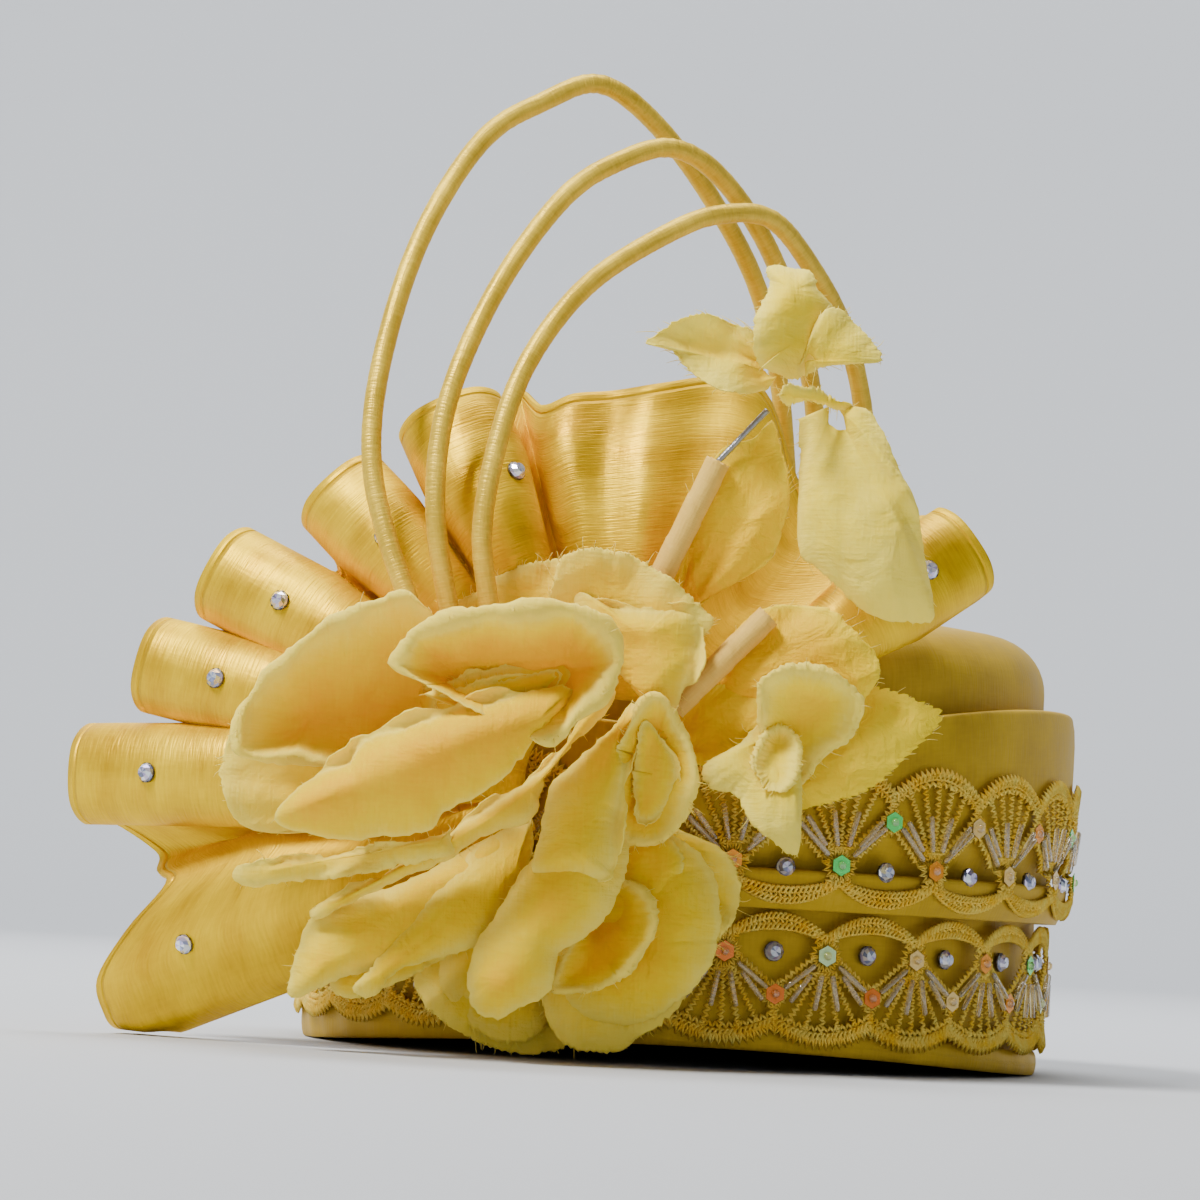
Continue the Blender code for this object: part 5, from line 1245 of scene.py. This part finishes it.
def petal_form(name, depth_at, lift, root, bulge, ripple, rolls, outline):
    """A petal as rows from its root, or from the line along its middle, to its rolled rim. A row lies at
    its share of the way out, at the solid's depth less a bulge, pleats that die out from the root,
    ripples that grow to the rim, and pressed creases. The bulge is four times the share times what is
    left of it, by the sine across the petal, or from a middle line 1 less the share's square; a hollow
    is the share's square. Returns the grid, each row's share and each column's."""
    seed = np.random.default_rng(sum(map(ord, name)))
    spined = np.ndim(root) > 1
    rim, rim_length, heart = laid_out(root, outline)
    around = np.linspace(0, 1, RIM_POINTS)
    out = rim - heart
    out /= np.linalg.norm(out, axis=1, keepdims=True) + 1e-9
    ragged = seed.normal(0, 0.17, (RIM_POINTS, 1))
    rim += out * (ragged + 0.12 * np.sin(around * rim_length * 0.7 + seed.uniform(0, 6))[:, None])
    radius, degrees = np.full(RIM_POINTS, 0.35), np.full(RIM_POINTS, -50.0)
    for start, end, roll, turn in rolls:
        uneven = 0.75 + 0.25 * np.sin(around * rim_length * 0.35 + seed.uniform(0, 6))
        share = window(around, start, end) * uneven
        radius, degrees = radius + share * (roll - radius), degrees + share * (turn - degrees)
    way = 1 - (1 - np.linspace(0, 1, PLAIN_ROWS)) ** 1.3
    base = heart + (0.0 if spined else ROOT_SHARE) * (rim - heart)
    flat = base + way[:, None, None] * (rim - out * radius[:, None] - base)
    flat[..., 1] = np.maximum(flat[..., 1], PETAL_FLOOR + 0.8)
    s, across = way[:, None], np.sin(math.pi * around)[None]
    if spined:
        hump = 1 - s**2 if bulge > 0 else -(s**2)
    else:
        hump = 4 * s * (1 - s) * across**0.6 if bulge > 0 else -(s**2) * across**0.4
    waves = np.zeros((PLAIN_ROWS, RIM_POINTS))
    for length in (34.0, 19.0, 11.0, 6.5):
        strength, start = seed.uniform(0.6, 1.0) * (length / 34) ** 1.3, seed.uniform(0, 2 * math.pi)
        phase = 2 * math.pi * around * rim_length / length + start + 1.4 * s
        waves += strength * (np.sin(phase) + 0.25 * np.sin(2 * phase)) * s ** (1.2 + 12 / length)
    pleats = np.sin(around * (14 + seed.uniform(0, 8)) + 1.5 * np.sin(4 * s + seed.uniform(0, 6)))
    pleats = 0 * pleats if spined else pleats * (1 - s) ** 1.2 * np.minimum(1, 6 * s)
    creases = sharp_folds(flat, seed, 6, 0.38 * ripple, 4.0) * np.minimum(1, 3 * s)
    pleating = 0.9 if "leaf" in name else 0.22
    forward = lift + 1.25 * bulge * hump + ripple * (0.75 * waves + pleating * pleats) + creases
    sheet = np.stack([flat[..., 0], depth_at(flat) - forward, flat[..., 1]], -1)
    grid = np.concatenate([sheet, rolled_rim(sheet, radius, degrees)])
    return grid, np.concatenate([way, np.ones(ROLL_ROWS)]), around


def silk(name, deep, mid, pale, crinkle, crinkle_size):
    """Stiffened silk: painted light in its colour, a deep orange for the shade at the petal's root, through
    its mid colour to a pale painted highlight at the rim, with a fine plain weave, soft crinkles and a
    little light through the cloth."""
    material, tree, shader = new_material(name)
    cloth, place = woven_cloth(tree, 1.4, 0.5)
    # the share carries painted light: the tone runs from painted shade at the root to a painted highlight at
    # the rim
    share = pale_share_of_dye_and_light(tree, cloth["Shade"], 0.42)
    low = mixed(tree, scaled_up(tree, share, 2.0), (*deep, 1), (*mid, 1))
    soft = {"Vector": place, "Scale": crinkle_size, "Detail": 5.0, "Distortion": 0.9}
    crumple = add_node(tree, "ShaderNodeTexNoise", soft, noise_type="FBM").outputs[0]
    set_sockets(shader, {
        "Base Color": mixed(tree, scaled_up(tree, share, 2.0, -1.0), low, (*pale, 1)),
        "Normal": bumped(tree, crumple, crinkle, normal=bumped(tree, cloth["Height"], 0.34)),
        "Roughness": scaled_up(tree, cloth["Shade"], 0.15, 0.5),
        "Specular IOR Level": 0.06,
        "Subsurface Weight": 0.25,
        "Subsurface Radius": (1.0, 0.75, 0.2),
        "Subsurface Scale": 0.003,
    })
    return material


petal_silk = silk("petal_silk", (0.94, 0.43, 0.0), (0.96, 0.61, 0.0), (0.97, 0.73, 0.09), 1.6, 0.08)
bud_silk = silk("bud_silk", (0.92, 0.52, 0.0), (0.95, 0.66, 0.006), (0.97, 0.76, 0.10), 1.6, 0.10)
leaf_silk = silk("leaf_silk", (0.84, 0.40, 0.0), (0.93, 0.56, 0.0), (0.95, 0.66, 0.015), 2.0, 0.15)
rims = []


def add_petal(name, node, lift, row, material, slot, stands_for):
    """Makes one petal and keeps its rim for the frayed threads."""
    root, bulge, ripple, (shaded_root_tone, lit_rim_tone), rolls, outline = row
    grid, way, around = petal_form(name, seat_of(node), lift, root, bulge, ripple, rolls, outline)
    s = way[:, None]
    # painted light: deeper where shade and bounced light gather at the root, paler toward the lit rim, with
    # a narrow painted highlight along the rim itself
    tone = shaded_root_tone + (lit_rim_tone - shaded_root_tone) * s**2 + 0.5 * s**26 + 0 * around[None]
    if name == "leaf_serrated":
        teeth = np.abs((around * 42) % 1 - 0.5) * 2 * window(around, 0.1, 0.92)
        outward = grid[-ROLL_ROWS - 1] - grid[0]
        outward /= np.linalg.norm(outward, axis=1, keepdims=True)
        grid = grid + 1.5 * (s**14 * teeth)[..., None] * outward
    piece = add_piece(name + "_silk", grid, [quads(*grid.shape[:2])], material, slot, stands_for,
                      grid[..., (0, 2)], tone, closed=True)
    thicken(piece, 0.3)
    rims.append((grid[-ROLL_ROWS + 1], grid[-ROLL_ROWS] - grid[-ROLL_ROWS - 4]))


for name, row in PETALS.items():
    add_petal(name, name, 0.0, row, petal_silk, "organza", [name])
for name, (node, lift, *row) in TUCKED.items():
    add_petal(name, node, lift, row, bud_silk if "bud" in name else petal_silk, "organza", [])
for rows, silk_used, slot in ((LEAF_PIECES, leaf_silk, "organza"), (BUD_PIECES, bud_silk, "organza_pale")):
    for name, row in rows.items():
        add_petal(name, name, 0.0, row, silk_used, slot, [name])


# Frayed threads. Single silk fibres that stand out of the raw rims of the petals, leaves and buds, each
# bent a little by its own lean.
def fray(count, radius):
    """Short bent threads at random places of the rims, along the way out with a random lean."""
    paths = []
    for rim, outward in rims:
        picks = luck.integers(0, len(rim), count)
        start = rim[picks]
        way = outward[picks] / np.linalg.norm(outward[picks], axis=1, keepdims=True)
        lean = luck.normal(0, 0.5, (count, 3))
        reach = luck.uniform(0.8, 3.2, (count, 1)) * (luck.random((count, 1)) ** 1.5 + 0.3)
        share = np.linspace(0, 1, 4)[None, :, None]
        bent = way[:, None] * share + lean[:, None] * share**2 * 0.6
        paths.append(start[:, None] + reach[:, None] * bent)
    return tubes(np.concatenate(paths), radius * np.array([1, 1, 0.8, 0.4]), 3, np.array([0.0, -1.0, 0.0]))


fray_points, fray_faces = fray(60, 0.10)
fray_points[:, 2] = np.maximum(fray_points[:, 2], 1.0)
add_piece("frayed_threads", fray_points, fray_faces, bud_silk, "organza_pale", uv=fray_points[:, (0, 2)],
          tone=np.full(len(fray_points), 0.9))


# Stems. Two cut stems, paper-backed cloth wound into a hollow tube and left raw at the mouth, and the
# thin grey wire of the upper bud, which comes out of the upper one.
STEM_RADIUS, STEM_BORE, STEM_BORE_DEPTH, STEM_WIND, STEM_STEP = 2.8, 2.0, 9.0, 11.0, 0.22


def stem_grid(path, sides=28):
    """A tube round a straight run: up its outside, over the ragged mouth and down its bore. The cloth's
    spiral edge is a low step that winds round it once in every STEM_WIND millimetres."""
    length = np.linalg.norm(path[-1] - path[0])
    way = (path[-1] - path[0]) / length
    side = np.cross(way, [0.0, 1.0, 0.0])
    side /= np.linalg.norm(side)
    other = np.cross(way, side)
    turn = np.arange(sides) * 2 * math.pi / sides
    spokes = np.cos(turn)[:, None] * side + np.sin(turn)[:, None] * other
    bottom = length - STEM_BORE_DEPTH
    outside = [(STEM_RADIUS, share * length) for share in np.linspace(0, 1, 60)]
    bore = [(STEM_BORE + 0.4, length + 0.2), (STEM_BORE, length - 0.3), (STEM_BORE, bottom), (0.02, bottom)]
    grid, uv = [], []
    for row, (radius, place) in enumerate(outside + bore):
        spiral, ragged = 0 * turn, 0 * turn
        if row < len(outside):
            spiral = ((turn / (2 * math.pi) + place / STEM_WIND) % 1) * STEM_STEP
            ragged = 0.35 * np.sin(9 * turn) * (place > length - 0.4)
        grid.append(path[0] + way * (place + ragged)[:, None] + (radius + spiral)[:, None] * spokes)
        uv.append(np.stack([turn * STEM_RADIUS, np.full(sides, place)], -1))
    return np.array(grid), np.array(uv)


tan = woven("stem_cloth", (0.66, 0.37, 0.03), (0.90, 0.60, 0.12), 2.2, 0.5, 0.25, 0.75, 0.1)
wire_material = woven("stem_wire", (0.12, 0.12, 0.12), (0.40, 0.40, 0.40), 1.5, 0.2, 0.2, 0.35, 0.1,
                      metallic=0.9)
STEMS = {"stem_upper": ((0.66, 0.84), (0.89, 1.30)), "stem_lower": ((0.72, 0.36), (1.08, 0.71))}
for name, (low, high) in STEMS.items():
    ends = on_flower([low, high])
    middle_depth = own_vertices(name)[:, 1].mean()
    guess = np.insert(ends, 1, middle_depth, axis=1)
    share = np.linspace(0, 1, 5)[:, None]
    centres = solid_centres(name, guess[0] * (1 - share) + guess[1] * share)
    grid, uv = stem_grid(centres[[0, -1]])
    grid[..., 1] += centres[:, 1].mean() - centres[[0, -1], 1].mean()
    foot = np.arange(grid.shape[1])[None, ::-1]
    add_piece(name + "_tube", grid, [quads(*grid.shape[:2], wrap_columns=True), foot], tan, "stem_tan",
              [name], uv, np.full(grid.shape[:2], 0.3), closed=True, crisp=50)

wire_corners = own_vertices("wire")
wire_middle = wire_corners.mean(0)
wire_way = np.linalg.svd(wire_corners - wire_middle)[2][0]
wire_way = wire_way * (1 if wire_way[2] > 0 else -1)
half_run = np.abs((wire_corners - wire_middle) @ wire_way).max()
wire_path = wire_middle + np.linspace(-half_run - 5.0, half_run, 60)[:, None] * wire_way
grid, uv = rouleau(wire_path, 0.7, 10, 0.25)
add_piece("bud_wire", grid, capped(*grid.shape[:2]), wire_material, "wire", ["wire"], uv,
          np.full(grid.shape[:2], 0.4))


# Studio. A pale seamless sweep all round the hat, a large soft light above on the left, weaker ones
# above, behind and low in front, and the camera where the photograph was taken.
def sweep_profile():
    """Floor out to a radius, a quarter circle up, then an upright wall, as radius and height in mm."""
    flat, bend, wall = 2300.0, 900.0, 2600.0
    turn = np.linspace(0, math.pi / 2, 16)
    radii = np.concatenate([[0.001, 400, 1000, 1700], flat + bend * np.sin(turn), [flat + bend]])
    heights = np.concatenate([[0, 0, 0, 0], bend * (1 - np.cos(turn)), [wall]])
    return radii, heights


def backdrop_material():
    """Matt painted board, very slightly uneven."""
    material, tree, shader = new_material("studio_grey")
    grey = mixed(tree, grain(tree, 1.3), (0.50, 0.52, 0.55, 1), (0.53, 0.55, 0.58, 1))
    set_sockets(shader, {"Base Color": grey, "Roughness": 0.9})
    return material


radii, heights = sweep_profile()
SWEEP_SIDES = 96
turn = np.arange(SWEEP_SIDES) * 2 * math.pi / SWEEP_SIDES
across, deep = radii[:, None] * np.cos(turn), radii[:, None] * np.sin(turn)
sweep = np.stack([across, deep, np.broadcast_to(heights[:, None], across.shape)], -1).reshape(-1, 3) * MM
sweep_mesh = bpy.data.meshes.new("studio_sweep")
sweep_mesh.from_pydata(sweep.tolist(), [], quads(len(radii), SWEEP_SIDES, wrap_columns=True).tolist())
sweep_mesh.shade_smooth()
sweep_mesh.materials.append(backdrop_material())
backdrop = bpy.data.objects.new("studio_sweep", sweep_mesh)
bpy.context.scene.collection.objects.link(backdrop)

LIGHTS = (
    # name, place in metres, size in metres, power in watts, colour
    ("key", (-0.95, -0.85, 1.65), 0.5, 64.0, (1.0, 0.98, 0.95)),
    ("top", (0.0, 0.3, 1.9), 0.9, 17.0, (1.0, 1.0, 1.0)),
    ("back", (-0.6, 1.6, 1.2), 1.2, 6.0, (1.0, 1.0, 1.0)),
    ("fill", (0.25, -1.5, 0.30), 0.8, 1.2, (1.0, 1.0, 1.0)),
    ("wall", (0.0, 0.9, 2.6), 2.4, 130.0, (1.0, 1.0, 1.0)),
)
for name, place, size, power, colour in LIGHTS:
    lamp = bpy.data.lights.new(name, "AREA")
    lamp.size, lamp.energy, lamp.color = size, power, colour
    light = bpy.data.objects.new(name, lamp)
    light.location = place
    target = (0.0, 3.4, 0.9) if name == "wall" else (0.0, 0.0, 0.1)
    aim = np.array(target) - np.array(place)
    tilt, heading = math.acos(-aim[2] / np.linalg.norm(aim)), math.atan2(aim[1], aim[0])
    light.rotation_euler = (tilt, 0, heading - math.pi / 2)
    bpy.context.scene.collection.objects.link(light)

world = bpy.data.worlds.new("studio")
world.use_nodes = True
world.node_tree.nodes["Background"].inputs[0].default_value = (0.80, 0.84, 0.90, 1)
world.node_tree.nodes["Background"].inputs[1].default_value = 0.05
bpy.context.scene.world = world

CAMERA_PLACE = np.array([-23.709, -1168.202, 34.779])  # hat's frame, mm
LOOKS_UP, ROLLED = math.radians(4.0), math.radians(3.1)
ahead = np.array([0.0, math.cos(LOOKS_UP), math.sin(LOOKS_UP)])
level, upright = np.array([1.0, 0.0, 0.0]), np.array([0.0, -math.sin(LOOKS_UP), math.cos(LOOKS_UP)])
to_right = math.cos(ROLLED) * level + math.sin(ROLLED) * upright
to_top = -math.sin(ROLLED) * level + math.cos(ROLLED) * upright
lens = bpy.data.cameras.new("photo_camera")
lens.lens, lens.sensor_width = 135.0, 36.0
camera = bpy.data.objects.new("photo_camera", lens)
bpy.context.scene.collection.objects.link(camera)
spot = (CAMERA_PLACE + HAT_MIDDLE) * MM
camera.matrix_world = [
    [to_right[k] for k in range(3)] + [0.0],
    [to_top[k] for k in range(3)] + [0.0],
    [-ahead[k] for k in range(3)] + [0.0],
    [*spot, 1.0],
]
bpy.context.scene.camera = camera
